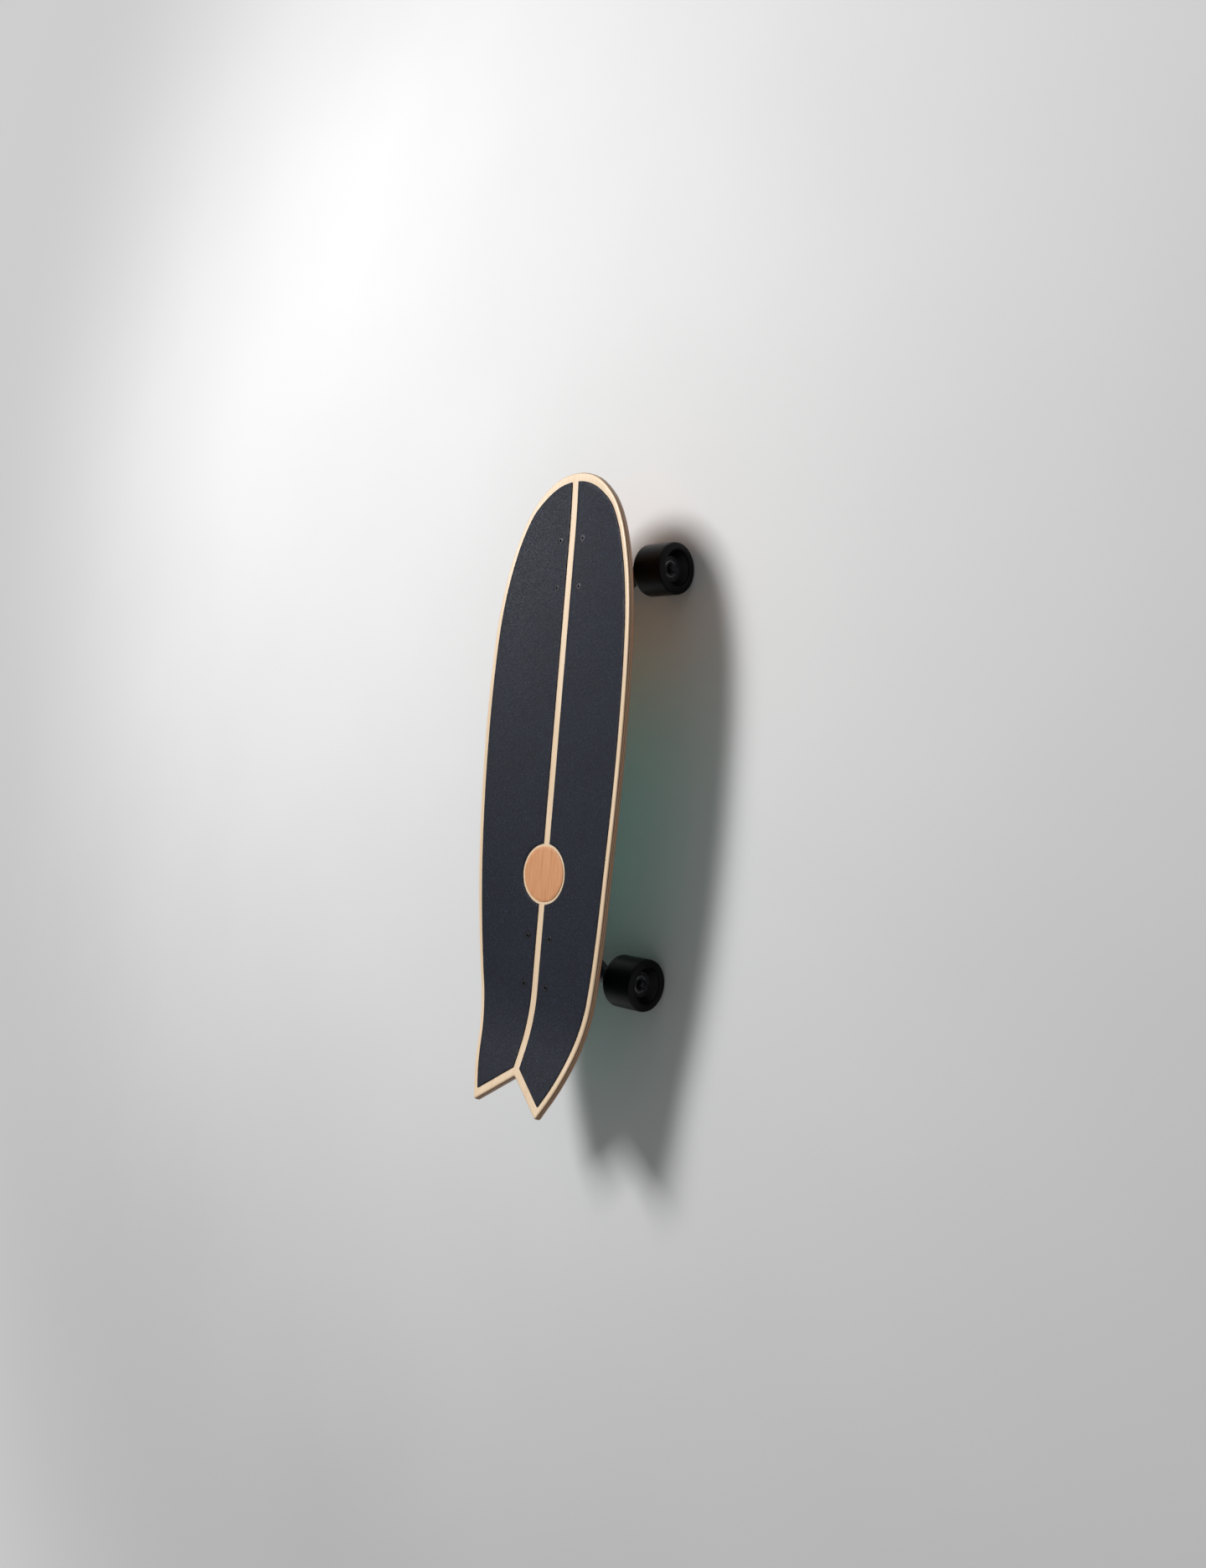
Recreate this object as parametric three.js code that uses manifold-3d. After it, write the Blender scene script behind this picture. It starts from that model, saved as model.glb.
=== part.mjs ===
// A surf skateboard with a swallow-tailed deck. A sprung swing-arm truck carries the front wheels
// and a plain kingpin truck the rear ones.
// Millimetres. +X points to the nose, +Y to the rider's left, +Z up. The origin lies on the ground
// under the middle of the deck.
import * as THREE from "three";
import { mergeVertices } from "three/addons/utils/BufferGeometryUtils.js";
import Module from "manifold-3d";

const wasm = await Module();
wasm.setup();

// Gaps and tolerances
const seat = 0.3; // left between two pieces that rest on each other
const overrun = 2; // how far a cutter runs past what it cuts
const weld = 0.001; // vertices closer than this are one

// Deck, measured along its top from the tail tips
const deckLength = 841;
const deckWidth = 261.6;
const deckThickness = 10.5;
const deckEdgeRadius = 3.2;
const tipSpread = 120; // between the two tail tips
const tipOverhang = 1.6; // a tip would reach this much further if it were sharp
const tipRadius = 3.6;
const notchDepth = 43; // from the tips' line to the bottom of the swallow tail
const kickStart = 157.6;
const kickRadius = 245;
const kickAngle = 19.15;
const concaveRise = 11.5; // of the rails over the middle where the deck is widest
const concaveRun = 360; // the concave reaches its full depth this far from the tail
const noseLift = 3;
const noseLiftRun = 90;
const tailSkew = 160; // the crosswise mesh lines follow the notch this far up the deck
// Half outline from a tail tip to the nose: share of the length, share of the half width
const outlineShares = [
  [0.0533, 0.616],
  [0.1153, 0.728],
  [0.1873, 0.823],
  [0.2795, 0.9],
  [0.4042, 0.962],
  [0.5508, 1],
  [0.6955, 0.99],
  [0.7845, 0.946],
  [0.8564, 0.856],
  [0.9153, 0.7255],
  [0.9571, 0.559],
  [0.9902, 0.294],
];
// Mesh lines along the deck, and across half of it
const stations = 40;
const deckColumns = 4;
const gripColumns = 3;

// Griptape panels and the round inlay between them
const gripThickness = 1;
const gripBorder = 8; // bare wood left along the rails
const gripNoseBorder = 11.6; // which widens to this at the nose
const gripNoseRun = 50;
const gripTailBorder = 12; // bare wood left along the notch
const stripeWidth = 11.4;
const inlayFromTail = 309.8;
const inlayOpening = 80.4; // diameter cut out of the griptape
const inlayDiameter = 73;
const inlayThickness = 0.6;

// Truck mounting
const rearHolesFromTail = 195; // middle of the rear hole pattern
const mountingWheelbase = 526;
const patternLength = 63.5;
const patternWidth = 41.3;
const boltDiameter = 4.8;
const boltHole = 5.6;
const boltHeadDiameter = 9.2;
const boltHeadDepth = 2.4;
const boltHeadProud = 0.2; // over the griptape
const boltSocket = 3.4; // across the corners of the hex socket
const boltSocketDepth = 1.6;
const boltEnd = 2; // thread showing under the nut
const boltNutAcross = 8;
const boltNutHeight = 4.6;

// Plates
const plateLength = 94;
const plateWidth = 58;
const plateThickness = 6.5;
const plateCorner = 9;
const riserMargin = 1; // riser pad beyond the plate
const frontRiser = 4;
const frontTruckHeight = 74.5; // from the mounting face to the axle
const rearTruckHeight = 64.5;
const frontAxleOffset = 3; // outboard of the middle of the hole pattern
const rearAxleOffset = 18;

// Steering geometry, the same in both trucks, seen from the side with the outboard end to the right
const steerAngle = 38; // steering axis over the deck's plane, rising outboard
const kingpinLean = 8; // kingpin from the vertical, its nut end inboard
const ringFromAxle = 24; // ring centre inboard of the axle
const ringOverAxle = 2;
const pivotReach = 52; // ring centre to the pivot's tip along the steering axis

// Hanger
const axleTubeRadius = 9;
const flareInner = 12; // the arm is fully flared up to here
const flareOuter = 58; // and is a plain tube from here
const flareReach = 21;
const flareWaist = 1.6;
const flareDip = 3; // the arm is this much flatter at the ring
const ringRadius = 16.6;
const ringThickness = 9;
const ringHoleRadius = 7.6;
const ringClearance = 2.8; // round the bushings
const pivotRadius = 5.4;
const pivotLength = 22;
const pivotWebWidth = 15;
const pivotWebBevel = 2;
// Sections of the arms, as shares of the hanger's half length
const armShares = [-1, -0.75, -0.6, -0.45, -0.3, -0.15, 0.15, 0.3, 0.45, 0.6, 0.75, 1];
// Corners of the web under the pivot: share of the pivot's reach, share of its radius over the axis
const pivotWebShares = [
  [0.26, -2.4],
  [0.45, -0.9],
  [0.62, 0.3],
  [0.74, 0.3],
  [0.74, -0.3],
  [0.48, -3.2],
];
const axleDiameter = 7.9;

// Kingpin stack
const kingpinRadius = 4.8;
const kingpinAbove = 38; // over the ring centre, head included
const kingpinAccess = 13; // the recess of the head runs on over it
const kingpinHeadHeight = 5;
const kingpinHeadAcross = 14;
const kingpinRecessRadius = 8.6;
const kingpinEnd = 2;
const kingpinNutAcross = 14;
const kingpinNutHeight = 6.5;
const bushingRadius = 12.6;
const bushingBore = 5.2;
const boardBushing = 13; // height
const roadBushing = 10;
const roadBushingEnd = 9.8; // radius at its nut end
const bushingWaist = 0.9;
const cupWasher = 1.6; // height of the washer's web
const cupWasherRim = 1.5;
const cupWasherRadius = 13.6;
const cupWasherSheet = 1;

// Carrier casting that holds the kingpin and the pivot cup
const seatBossRadius = 14;
const webWidth = 25;
const webBevel = 2.5;
const pivotCupRadius = 9;
const pivotCupLength = 12;
const pivotCupFloor = 2;
const pivotBossWall = 3.4;
const pivotBossEnd = 3.4; // material behind the cup

// Swivel between the front base and the swing arm
const swivelLean = 8; // axis from the vertical, its top towards the nose
const swivelForward = 8; // where it crosses the bearing
const swivelDrop = 18.25; // bearing under the mounting face
const swivelBossRadius = 12;
const swivelPinRadius = 6;
const swivelPinDepth = 15; // into the arm
const swivelNutAcross = 19;
const swivelNutHeight = 7;
const swivelNutRecess = 12; // radius
const swivelNutDrop = 1.2; // nut under the mounting face
const turntableRadius = 25;
const turntableGap = 17; // between the faces of base and arm
const turntableThickness = 6;
const thrustBearing = 2.4;
const thrustBearingRadius = 11.6;
const armBossHeight = 18; // from the kingpin's seat up

// Return spring wound round the swivel
const springWire = 4.4;
const springRadius = 19;
const springTurns = 2.25;
const springLeg = 15; // from the coil to the lug
const springSocket = 5; // leg inside the lug
const springLugDepth = 8;
const springLugWidth = 9.6;
const springLugCover = 2.2; // lug over the wire
const springSteps = 8; // per turn
const springSides = 5;

// Wheels
const wheelDiameter = 69;
const wheelWidth = 52;
const wheelOuterFace = 118.5; // of the rear wheels, from the board's middle
const frontTrackInset = 7; // the front wheels stand this much nearer the middle
const treadWidth = 44;
const lipRadius = 25; // edge of the recess in the side
const coreRadius = 16.4;
const coreWidth = 26;
const coreShoulder = 5; // between the middle and each bearing
const coreShoulderRadius = 8.6;
const bearingRadius = 11;
const bearingWidth = 7;
const bearingBore = 4.25;
const bearingShieldDepth = 0.5;
const bearingRingWidth = 1.5;
const axleNutAcross = 12.7;
const axleNutHeight = 6;
const axleEnd = 1.2;

// Facets round a turned piece
const wheelFacets = 24;
const coreFacets = 12;
const bossFacets = 16;
const smallFacets = 10;
const holeFacets = 8;

// Worked out from the sizes above
const halfWidth = deckWidth / 2;
const tipHalf = tipSpread / 2;
const notchRun = notchDepth + tipOverhang;
const notchSlant = Math.hypot(tipHalf, notchRun);
const wheelRadius = wheelDiameter / 2;
const rearTrackHalf = wheelOuterFace - wheelWidth / 2;
const frontTrackHalf = rearTrackHalf - frontTrackInset;
const bearingReach = coreShoulder + seat + bearingWidth + seat; // past the wheel's centre
const rearRiser = frontRiser + frontTruckHeight - rearTruckHeight;
const underDeck = deckThickness + seat;
const deckTop = wheelRadius + underDeck + frontRiser + seat + frontTruckHeight;
const radians = THREE.MathUtils.degToRad;

// Materials
const finish = (color, roughness, metalness = 0) => ({ color, roughness, metalness });
const maple = finish(0xd9ba90, 0.55);
const gripBlack = finish(0x2b2c31, 0.95);
const stainedWood = finish(0xc78f5e, 0.6);
const zincPlated = finish(0xb9bcc0, 0.35, 0.9);
const blackSteel = finish(0x1d1d20, 0.4, 0.8);
const blackPaint = finish(0x17171a, 0.5, 0.4);
const rubberPad = finish(0x161617, 0.8);
const urethane = finish(0x121213, 0.45);
const bushingRed = finish(0x8c3a2a, 0.5);
const hubPlastic = finish(0x1b1b1f, 0.5);
const bearingSteel = finish(0x9a9da1, 0.3, 0.9);
const springSteel = finish(0x8f9398, 0.3, 0.9);

// A closed geometry, its shared vertices merged and its faces turned outwards, as a solid
function solidOf(geometry) {
  const bare = new THREE.BufferGeometry();
  bare.setAttribute("position", geometry.getAttribute("position"));
  bare.setIndex(geometry.index);
  const welded = mergeVertices(bare, weld);
  const points = welded.getAttribute("position").array;
  const index = welded.index.array;
  const faces = [];
  let volume = 0;
  const corner = [new THREE.Vector3(), new THREE.Vector3(), new THREE.Vector3()];
  for (let i = 0; i < index.length; i += 3) {
    const [a, b, c] = index.slice(i, i + 3);
    if (a === b || b === c || c === a) continue;
    faces.push([a, b, c]);
    [a, b, c].forEach((vertex, k) => corner[k].fromArray(points, 3 * vertex));
    volume += corner[0].dot(corner[1].cross(corner[2]));
  }
  const outward = volume < 0 ? faces.map(([a, b, c]) => [a, c, b]) : faces;
  const triVerts = new Uint32Array(outward.flat());
  return new wasm.Manifold(new wasm.Mesh({ numProp: 3, vertProperties: points, triVerts }));
}

function geometryOf(solid) {
  const mesh = solid.getMesh();
  const geometry = new THREE.BufferGeometry();
  geometry.setAttribute("position", new THREE.BufferAttribute(mesh.vertProperties, 3));
  geometry.setIndex(new THREE.BufferAttribute(mesh.triVerts, 1));
  const faceted = geometry.toNonIndexed();
  faceted.computeVertexNormals();
  return faceted;
}

const join = (first, ...others) => others.reduce((sum, next) => sum.add(next), first);
const cut = (body, ...tools) => tools.reduce((rest, tool) => rest.subtract(tool), body);

function meshOf(name, solid, look) {
  const mesh = new THREE.Mesh(geometryOf(solid), new THREE.MeshStandardMaterial(look));
  mesh.name = name;
  return mesh;
}

// A profile of [radius, height] turned about an axis that starts at a point
function turned(profile, facets, origin = new THREE.Vector3(), axis = new THREE.Vector3(0, 0, 1)) {
  const closed = profile.map(([radius, height]) => new THREE.Vector2(radius, height));
  const onAxis = profile[0][0] === 0 && profile.at(-1)[0] === 0;
  if (!onAxis) closed.push(closed[0].clone());
  const geometry = new THREE.LatheGeometry(closed, facets);
  const turn = new THREE.Quaternion().setFromUnitVectors(new THREE.Vector3(0, 1, 0), axis);
  geometry.applyQuaternion(turn);
  geometry.translate(origin.x, origin.y, origin.z);
  return solidOf(geometry);
}

const rod = (radius, from, to) => [
  [0, from],
  [radius, from],
  [radius, to],
  [0, to],
];

const tube = (bore, radius, from, to) => [
  [bore, from],
  [radius, from],
  [radius, to],
  [bore, to],
];

function polygon(sides, radius, start = 0) {
  const corners = Array.from({ length: sides }, (_, k) => {
    const angle = start + (2 * Math.PI * k) / sides;
    return new THREE.Vector2(radius * Math.cos(angle), radius * Math.sin(angle));
  });
  return new THREE.Shape(corners);
}

function roundedRectangle(length, width, corner) {
  const shape = new THREE.Shape();
  const x = length / 2 - corner;
  const y = width / 2 - corner;
  shape.absarc(x, y, corner, 0, Math.PI / 2);
  shape.absarc(-x, y, corner, Math.PI / 2, Math.PI);
  shape.absarc(-x, -y, corner, Math.PI, 1.5 * Math.PI);
  shape.absarc(x, -y, corner, 1.5 * Math.PI, 2 * Math.PI);
  return shape;
}

// A shape drawn across an axis and extruded along it, from one distance to another
function extruded(shape, from, to, origin = new THREE.Vector3(), axis = new THREE.Vector3(0, 0, 1)) {
  const geometry = new THREE.ExtrudeGeometry(shape, {
    depth: to - from,
    bevelEnabled: false,
    curveSegments: 3,
  });
  geometry.translate(0, 0, from);
  const turn = new THREE.Quaternion().setFromUnitVectors(new THREE.Vector3(0, 0, 1), axis);
  geometry.applyQuaternion(turn);
  geometry.translate(origin.x, origin.y, origin.z);
  return solidOf(geometry);
}

// A hex prism with a bore along an axis; the bore is left out when it is 0
function hexNut(across, bore, from, to, origin, axis) {
  const hexagon = polygon(6, across / Math.sqrt(3));
  if (bore > 0) hexagon.holes.push(polygon(smallFacets, bore));
  return extruded(hexagon, from, to, origin, axis);
}

// Deck surface

const outline = (() => {
  const points = [new THREE.Vector3(-tipOverhang, tipHalf, 0)];
  for (const [along, across] of outlineShares)
    points.push(new THREE.Vector3(along * deckLength, across * halfWidth, 0));
  const nose = new THREE.Vector3(deckLength, 0, 0);
  const beyond = points
    .slice(-2)
    .reverse()
    .map((point) => new THREE.Vector3(point.x, -point.y, 0));
  return new THREE.CatmullRomCurve3([...points, nose, ...beyond], false, "centripetal");
})();
const outlineEnd = (outlineShares.length + 1) / (outlineShares.length + 3);

// How far an edge lies inside the outline, by the distance from the tail
const evenBorder = (inset) => () => inset;
const gripInset = (along) => {
  const nearNose = THREE.MathUtils.smoothstep(along, deckLength - gripNoseRun, deckLength);
  return THREE.MathUtils.lerp(gripBorder, gripNoseBorder, nearNose);
};

// A point of the half outline, moved inwards; u runs from a tail tip to the nose
function railPoint(u, border) {
  const point = outline.getPoint(u * outlineEnd);
  const along = outline.getTangent(u * outlineEnd);
  const inset = border(point.x);
  return new THREE.Vector2(point.x + inset * along.y, point.y - inset * along.x);
}

const fromNotch = (point) => ((point.x - notchDepth) * tipHalf + point.y * notchRun) / notchSlant;

// Where a quantity that grows with u passes zero
function crossing(quantity) {
  let low = 0;
  let high = 1;
  for (let step = 0; step < 40; step += 1) {
    const middle = (low + high) / 2;
    if (quantity(middle) < 0) low = middle;
    else high = middle;
  }
  return (low + high) / 2;
}

// Lines across half the deck, each a start near the middle and an end near the rail.
// They follow the notch at the tail and straighten out towards the nose.
function crossLines(border, tailInset, innerEdge) {
  const first = tailInset > 0 ? crossing((u) => fromNotch(railPoint(u, border)) - tailInset) : 0;
  const last = innerEdge > 0 ? crossing((u) => innerEdge - railPoint(u, border).y) : 1;
  const tail = railPoint(first, border);
  const skew = notchDepth + (tailInset * notchSlant) / tipHalf - tail.x;
  return Array.from({ length: stations + 1 }, (_, i) => {
    const share = i / stations;
    const end = railPoint(first + (last - first) * share, border);
    const straight = Math.min(1, (end.x - tail.x) / tailSkew);
    const middle = new THREE.Vector2(end.x + skew * (1 - straight) ** 2, 0);
    if (i === stations) end.y = innerEdge;
    const start = innerEdge === 0 ? middle : middle.lerp(end, innerEdge / end.y);
    return [start, end];
  });
}

// Height of the deck's surface: kicktail, concave and a slight lift of the nose
function deckPoint(along, across, lift) {
  const bent = Math.max(0, kickStart - along);
  const angle = Math.min(bent / kickRadius, radians(kickAngle));
  const straight = bent - angle * kickRadius;
  const x = Math.max(0, along - kickStart) - kickRadius * Math.sin(angle) - straight * Math.cos(angle);
  const z = kickRadius * (1 - Math.cos(angle)) + straight * Math.sin(angle);
  const depth = concaveRise * THREE.MathUtils.smoothstep(along, 0, concaveRun);
  const nose = Math.max(0, (along - deckLength + noseLiftRun) / noseLiftRun);
  const rise = depth * (across / halfWidth) ** 2 + noseLift * nose ** 2 + lift;
  return new THREE.Vector3(x + rise * Math.sin(angle), across, z + rise * Math.cos(angle));
}

// The middle of the deck's length on the ground, counted from the start of the kick
const tailX = deckPoint(0, tipHalf, deckEdgeRadius - deckThickness).x;
const noseX = deckPoint(deckLength, 0, 0).x;
const middleX = (tailX + noseX) / 2;
const patternX = (along) => deckPoint(along, 0, 0).x - middleX;

// A sheet that follows the deck. Each layer is [border, tail inset, lift over the deck's top];
// the first and the last layer are closed by a surface, the ones between by the rim.
function deckSheet(layers, columns, halves, innerEdge) {
  const positions = [];
  const faces = [];
  const wide = halves * columns;
  const row = wide + 1;
  const layerSize = row * (stations + 1);
  for (const [border, tailInset, lift] of layers) {
    for (const [start, end] of crossLines(border, tailInset, innerEdge)) {
      for (let j = 0; j <= wide; j += 1) {
        const share = halves === 2 ? j / columns - 1 : j / columns;
        const side = Math.sign(share) || 1;
        const plan = start.clone().lerp(end, Math.abs(share));
        const point = deckPoint(plan.x, side * plan.y, lift);
        positions.push(point.x - middleX, point.y, point.z);
      }
    }
  }
  const at = (layer, i, j) => layer * layerSize + i * row + j;
  const quad = (a, b, c, d) => faces.push(a, b, c, a, c, d);
  const lowest = layers.length - 1;
  for (let i = 0; i < stations; i += 1) {
    for (let j = 0; j < wide; j += 1) {
      quad(at(0, i, j), at(0, i + 1, j), at(0, i + 1, j + 1), at(0, i, j + 1));
      quad(at(lowest, i, j), at(lowest, i, j + 1), at(lowest, i + 1, j + 1), at(lowest, i + 1, j));
    }
  }
  for (let k = 0; k < lowest; k += 1) {
    for (let i = 0; i < stations; i += 1) {
      quad(at(k, i, 0), at(k + 1, i, 0), at(k + 1, i + 1, 0), at(k, i + 1, 0));
      quad(at(k, i, wide), at(k, i + 1, wide), at(k + 1, i + 1, wide), at(k + 1, i, wide));
    }
    for (let j = 0; j < wide; j += 1)
      quad(at(k, 0, j), at(k, 0, j + 1), at(k + 1, 0, j + 1), at(k + 1, 0, j));
  }
  const geometry = new THREE.BufferGeometry();
  geometry.setAttribute("position", new THREE.Float32BufferAttribute(positions, 3));
  geometry.setIndex(faces);
  return solidOf(geometry);
}

// Places of the eight deck bolts, as [name, distance from the tail, distance across, truck]
const boltPlaces = [];
for (const [truck, middle] of [
  ["front", rearHolesFromTail + mountingWheelbase],
  ["rear", rearHolesFromTail],
]) {
  let count = 0;
  for (const end of [1, -1])
    for (const side of [1, -1]) {
      count += 1;
      boltPlaces.push([
        `${truck}_deck_bolt_${count}`,
        middle + (end * patternLength) / 2,
        (side * patternWidth) / 2,
        truck,
      ]);
    }
}

const headTop = gripThickness + seat + boltHeadProud;
const headRadius = boltHeadDiameter / 2;
const boltRadius = boltDiameter / 2;

function boltWell(along, across) {
  const top = deckPoint(along, across, 0);
  const origin = new THREE.Vector3(top.x - middleX, across, top.z);
  const holeRadius = boltHole / 2;
  const profile = [
    [0, -deckThickness - overrun],
    [holeRadius, -deckThickness - overrun],
    [holeRadius, headTop - boltHeadDepth - seat],
    [headRadius + seat, headTop - seat],
    [headRadius + seat, headTop + overrun],
    [0, headTop + overrun],
  ];
  return turned(profile, holeFacets, origin);
}

// What lies outside the rounded end of a tail tip, as a prism square to the kicktail
function tipCutter(side) {
  const steps = 4;
  const tip = railPoint(0, evenBorder(0));
  const rail = railPoint(1 / stations, evenBorder(0)).sub(tip).normalize();
  const notch = new THREE.Vector2(notchRun, -tipHalf).normalize();
  const middle = rail.clone().add(notch).normalize();
  const centre = tip.clone().addScaledVector(middle, tipRadius / Math.abs(middle.cross(notch)));
  const from = new THREE.Vector2(-rail.y, rail.x).angle();
  const to = new THREE.Vector2(notch.y, -notch.x).angle();
  const arc = Array.from({ length: steps + 1 }, (_, i) => {
    const angle = from + ((to - from) * i) / steps;
    return new THREE.Vector2(Math.cos(angle), Math.sin(angle)).multiplyScalar(tipRadius).add(centre);
  });
  const beyond = [arc.at(-1), tip, arc[0]].map((point) => point.clone().addScaledVector(middle, -overrun));
  const corners = [...arc, ...beyond].map((point) => new THREE.Vector2(point.x, side * point.y));
  const square = deckPoint(0, 0, 1).sub(deckPoint(0, 0, 0));
  const origin = deckPoint(0, 0, 0);
  origin.x -= middleX;
  return extruded(new THREE.Shape(corners), -deckThickness - overrun, overrun, origin, square);
}

function deck() {
  const atEdge = evenBorder(0);
  const inEdge = evenBorder(deckEdgeRadius);
  const body = deckSheet(
    [
      [inEdge, deckEdgeRadius, 0],
      [atEdge, 0, -deckEdgeRadius],
      [atEdge, 0, deckEdgeRadius - deckThickness],
      [inEdge, deckEdgeRadius, -deckThickness],
    ],
    deckColumns,
    2,
    0,
  );
  const wells = boltPlaces.map(([, along, across]) => boltWell(along, across));
  return cut(body, tipCutter(1), tipCutter(-1), ...wells);
}

function gripPanel(side) {
  const wholePanel = deckSheet(
    [
      [gripInset, gripTailBorder, seat + gripThickness],
      [gripInset, gripTailBorder, seat],
    ],
    gripColumns,
    1,
    stripeWidth / 2,
  );
  const panel = side > 0 ? wholePanel : wholePanel.mirror([0, 1, 0]);
  const inlayX = patternX(inlayFromTail);
  const opening = turned(
    rod(inlayOpening / 2, -overrun, concaveRise),
    wheelFacets,
    new THREE.Vector3(inlayX, 0, 0),
  );
  const wells = boltPlaces
    .filter(([, , across]) => across * side > 0)
    .map(([, along, across]) => boltWell(along, across));
  return cut(panel, opening, ...wells);
}

// The round inlay lies on the deck's concave, so its rings follow the surface
function roundInlay() {
  const rings = 2;
  const facets = wheelFacets;
  const positions = [];
  const faces = [];
  const layerSize = (rings + 1) * facets;
  for (const lift of [seat + inlayThickness, seat]) {
    for (let i = 0; i <= rings; i += 1) {
      for (let k = 0; k < facets; k += 1) {
        const angle = (2 * Math.PI * k) / facets;
        const radius = ((inlayDiameter / 2) * i) / rings;
        const across = radius * Math.sin(angle);
        const point = deckPoint(inlayFromTail + radius * Math.cos(angle), across, lift);
        positions.push(point.x - middleX, point.y, point.z);
      }
    }
  }
  const at = (layer, i, k) => layer * layerSize + i * facets + (k % facets);
  const quad = (a, b, c, d) => faces.push(a, b, c, a, c, d);
  for (let k = 0; k < facets; k += 1) {
    for (let i = 0; i < rings; i += 1) {
      quad(at(0, i, k), at(0, i + 1, k), at(0, i + 1, k + 1), at(0, i, k + 1));
      quad(at(1, i, k), at(1, i, k + 1), at(1, i + 1, k + 1), at(1, i + 1, k));
    }
    quad(at(0, rings, k), at(1, rings, k), at(1, rings, k + 1), at(0, rings, k + 1));
  }
  const geometry = new THREE.BufferGeometry();
  geometry.setAttribute("position", new THREE.Float32BufferAttribute(positions, 3));
  geometry.setIndex(faces);
  return solidOf(geometry);
}

// A countersunk bolt with its lock nut, fused where the nut grips the thread. Its origin is the
// deck's surface, which is higher beside the middle line than on it.
function deckBolt(riser, surface) {
  const underPlate = -surface - underDeck - riser - plateThickness - 2 * seat;
  const nutEnd = underPlate - boltNutHeight;
  const profile = [
    [0, nutEnd - boltEnd],
    [boltRadius, nutEnd - boltEnd],
    [boltRadius, headTop - boltHeadDepth],
    [headRadius, headTop],
    [0, headTop],
  ];
  const socket = extruded(polygon(6, boltSocket / 2), headTop - boltSocketDepth, headTop + overrun);
  const nut = hexNut(boltNutAcross, 0, nutEnd, underPlate);
  return join(cut(turned(profile, holeFacets), socket), nut);
}

function riserPad(thickness) {
  const length = plateLength + 2 * riserMargin;
  const width = plateWidth + 2 * riserMargin;
  const pad = roundedRectangle(length, width, plateCorner + riserMargin);
  for (const end of [1, -1])
    for (const side of [1, -1]) {
      const hole = new THREE.Path();
      const circle = polygon(holeFacets, boltHole / 2).getPoints();
      const centre = new THREE.Vector2((end * patternLength) / 2, (side * patternWidth) / 2);
      hole.setFromPoints(circle.map((point) => point.add(centre)));
      pad.holes.push(hole);
    }
  return extruded(pad, 0, thickness);
}

// Truck geometry in its own frame: the origin is the middle of the hole pattern on the mounting
// face, +X points outboard and +Z up to the deck

const steerAxis = new THREE.Vector3(Math.cos(radians(steerAngle)), 0, Math.sin(radians(steerAngle)));
const steerNormal = new THREE.Vector3(-steerAxis.z, 0, steerAxis.x);
const kingpinAxis = new THREE.Vector3(
  Math.sin(radians(kingpinLean)),
  0,
  Math.cos(radians(kingpinLean)),
);
const kingpinNormal = new THREE.Vector3(kingpinAxis.z, 0, -kingpinAxis.x);
const ringHalf = ringThickness / 2;
const boardStack = ringHalf + seat + boardBushing + seat + cupWasher + seat;
const roadStack = ringHalf + seat + roadBushing + seat + cupWasher + seat;

const axlePoint = (offset, height) => new THREE.Vector3(offset, 0, -height);
const ringPoint = (axle) => new THREE.Vector3(axle.x - ringFromAxle, 0, axle.z + ringOverAxle);
const step = (from, axis, distance) => from.clone().addScaledVector(axis, distance);

const boltHoles = (thickness) =>
  [1, -1].flatMap((end) =>
    [1, -1].map((side) => {
      const centre = new THREE.Vector3((end * patternLength) / 2, (side * patternWidth) / 2, 0);
      return turned(rod(boltHole / 2, -thickness - overrun, overrun), holeFacets, centre);
    }),
  );

function mountingPlate() {
  return extruded(roundedRectangle(plateLength, plateWidth, plateCorner), -plateThickness, 0);
}

const flat = (point) => new THREE.Vector2(point.x, point.z);

// A bevelled plate that stands upright along the middle, from its corners seen from the side
function uprightWeb(corners, width, bevel) {
  const geometry = new THREE.ExtrudeGeometry(new THREE.Shape(corners), {
    depth: width - 2 * bevel,
    bevelEnabled: true,
    bevelThickness: bevel,
    bevelSize: bevel,
    bevelSegments: 1,
  });
  geometry.translate(0, 0, bevel - width / 2);
  geometry.rotateX(Math.PI / 2);
  return solidOf(geometry);
}

// Joins the kingpin seat and the pivot boss to what is over them, which gives the top corners
function carrierWeb(axle, topCorners) {
  const ring = ringPoint(axle);
  const seatPoint = step(ring, kingpinAxis, boardStack + webBevel);
  const cupMouth = step(ring, steerAxis, pivotReach - pivotCupLength + pivotCupFloor);
  const cupEnd = step(ring, steerAxis, pivotReach + pivotCupFloor + pivotBossEnd);
  const seatRadius = seatBossRadius - webBevel;
  const bossRadius = pivotCupRadius + pivotBossWall - webBevel;
  const inner = step(seatPoint, kingpinNormal, -seatRadius);
  const outer = step(seatPoint, kingpinNormal, seatRadius);
  const mouthTop = step(cupMouth, steerNormal, bossRadius);
  const mouthLow = step(cupMouth, steerNormal, -bossRadius);
  const endLow = step(cupEnd, steerNormal, -bossRadius);
  const underWeb = new THREE.Vector2(outer.x, mouthTop.z);
  const low = [flat(inner), flat(outer), underWeb, flat(mouthTop), flat(mouthLow), flat(endLow)];
  return uprightWeb([...low, ...topCorners.map(flat)], webWidth, webBevel);
}

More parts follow.
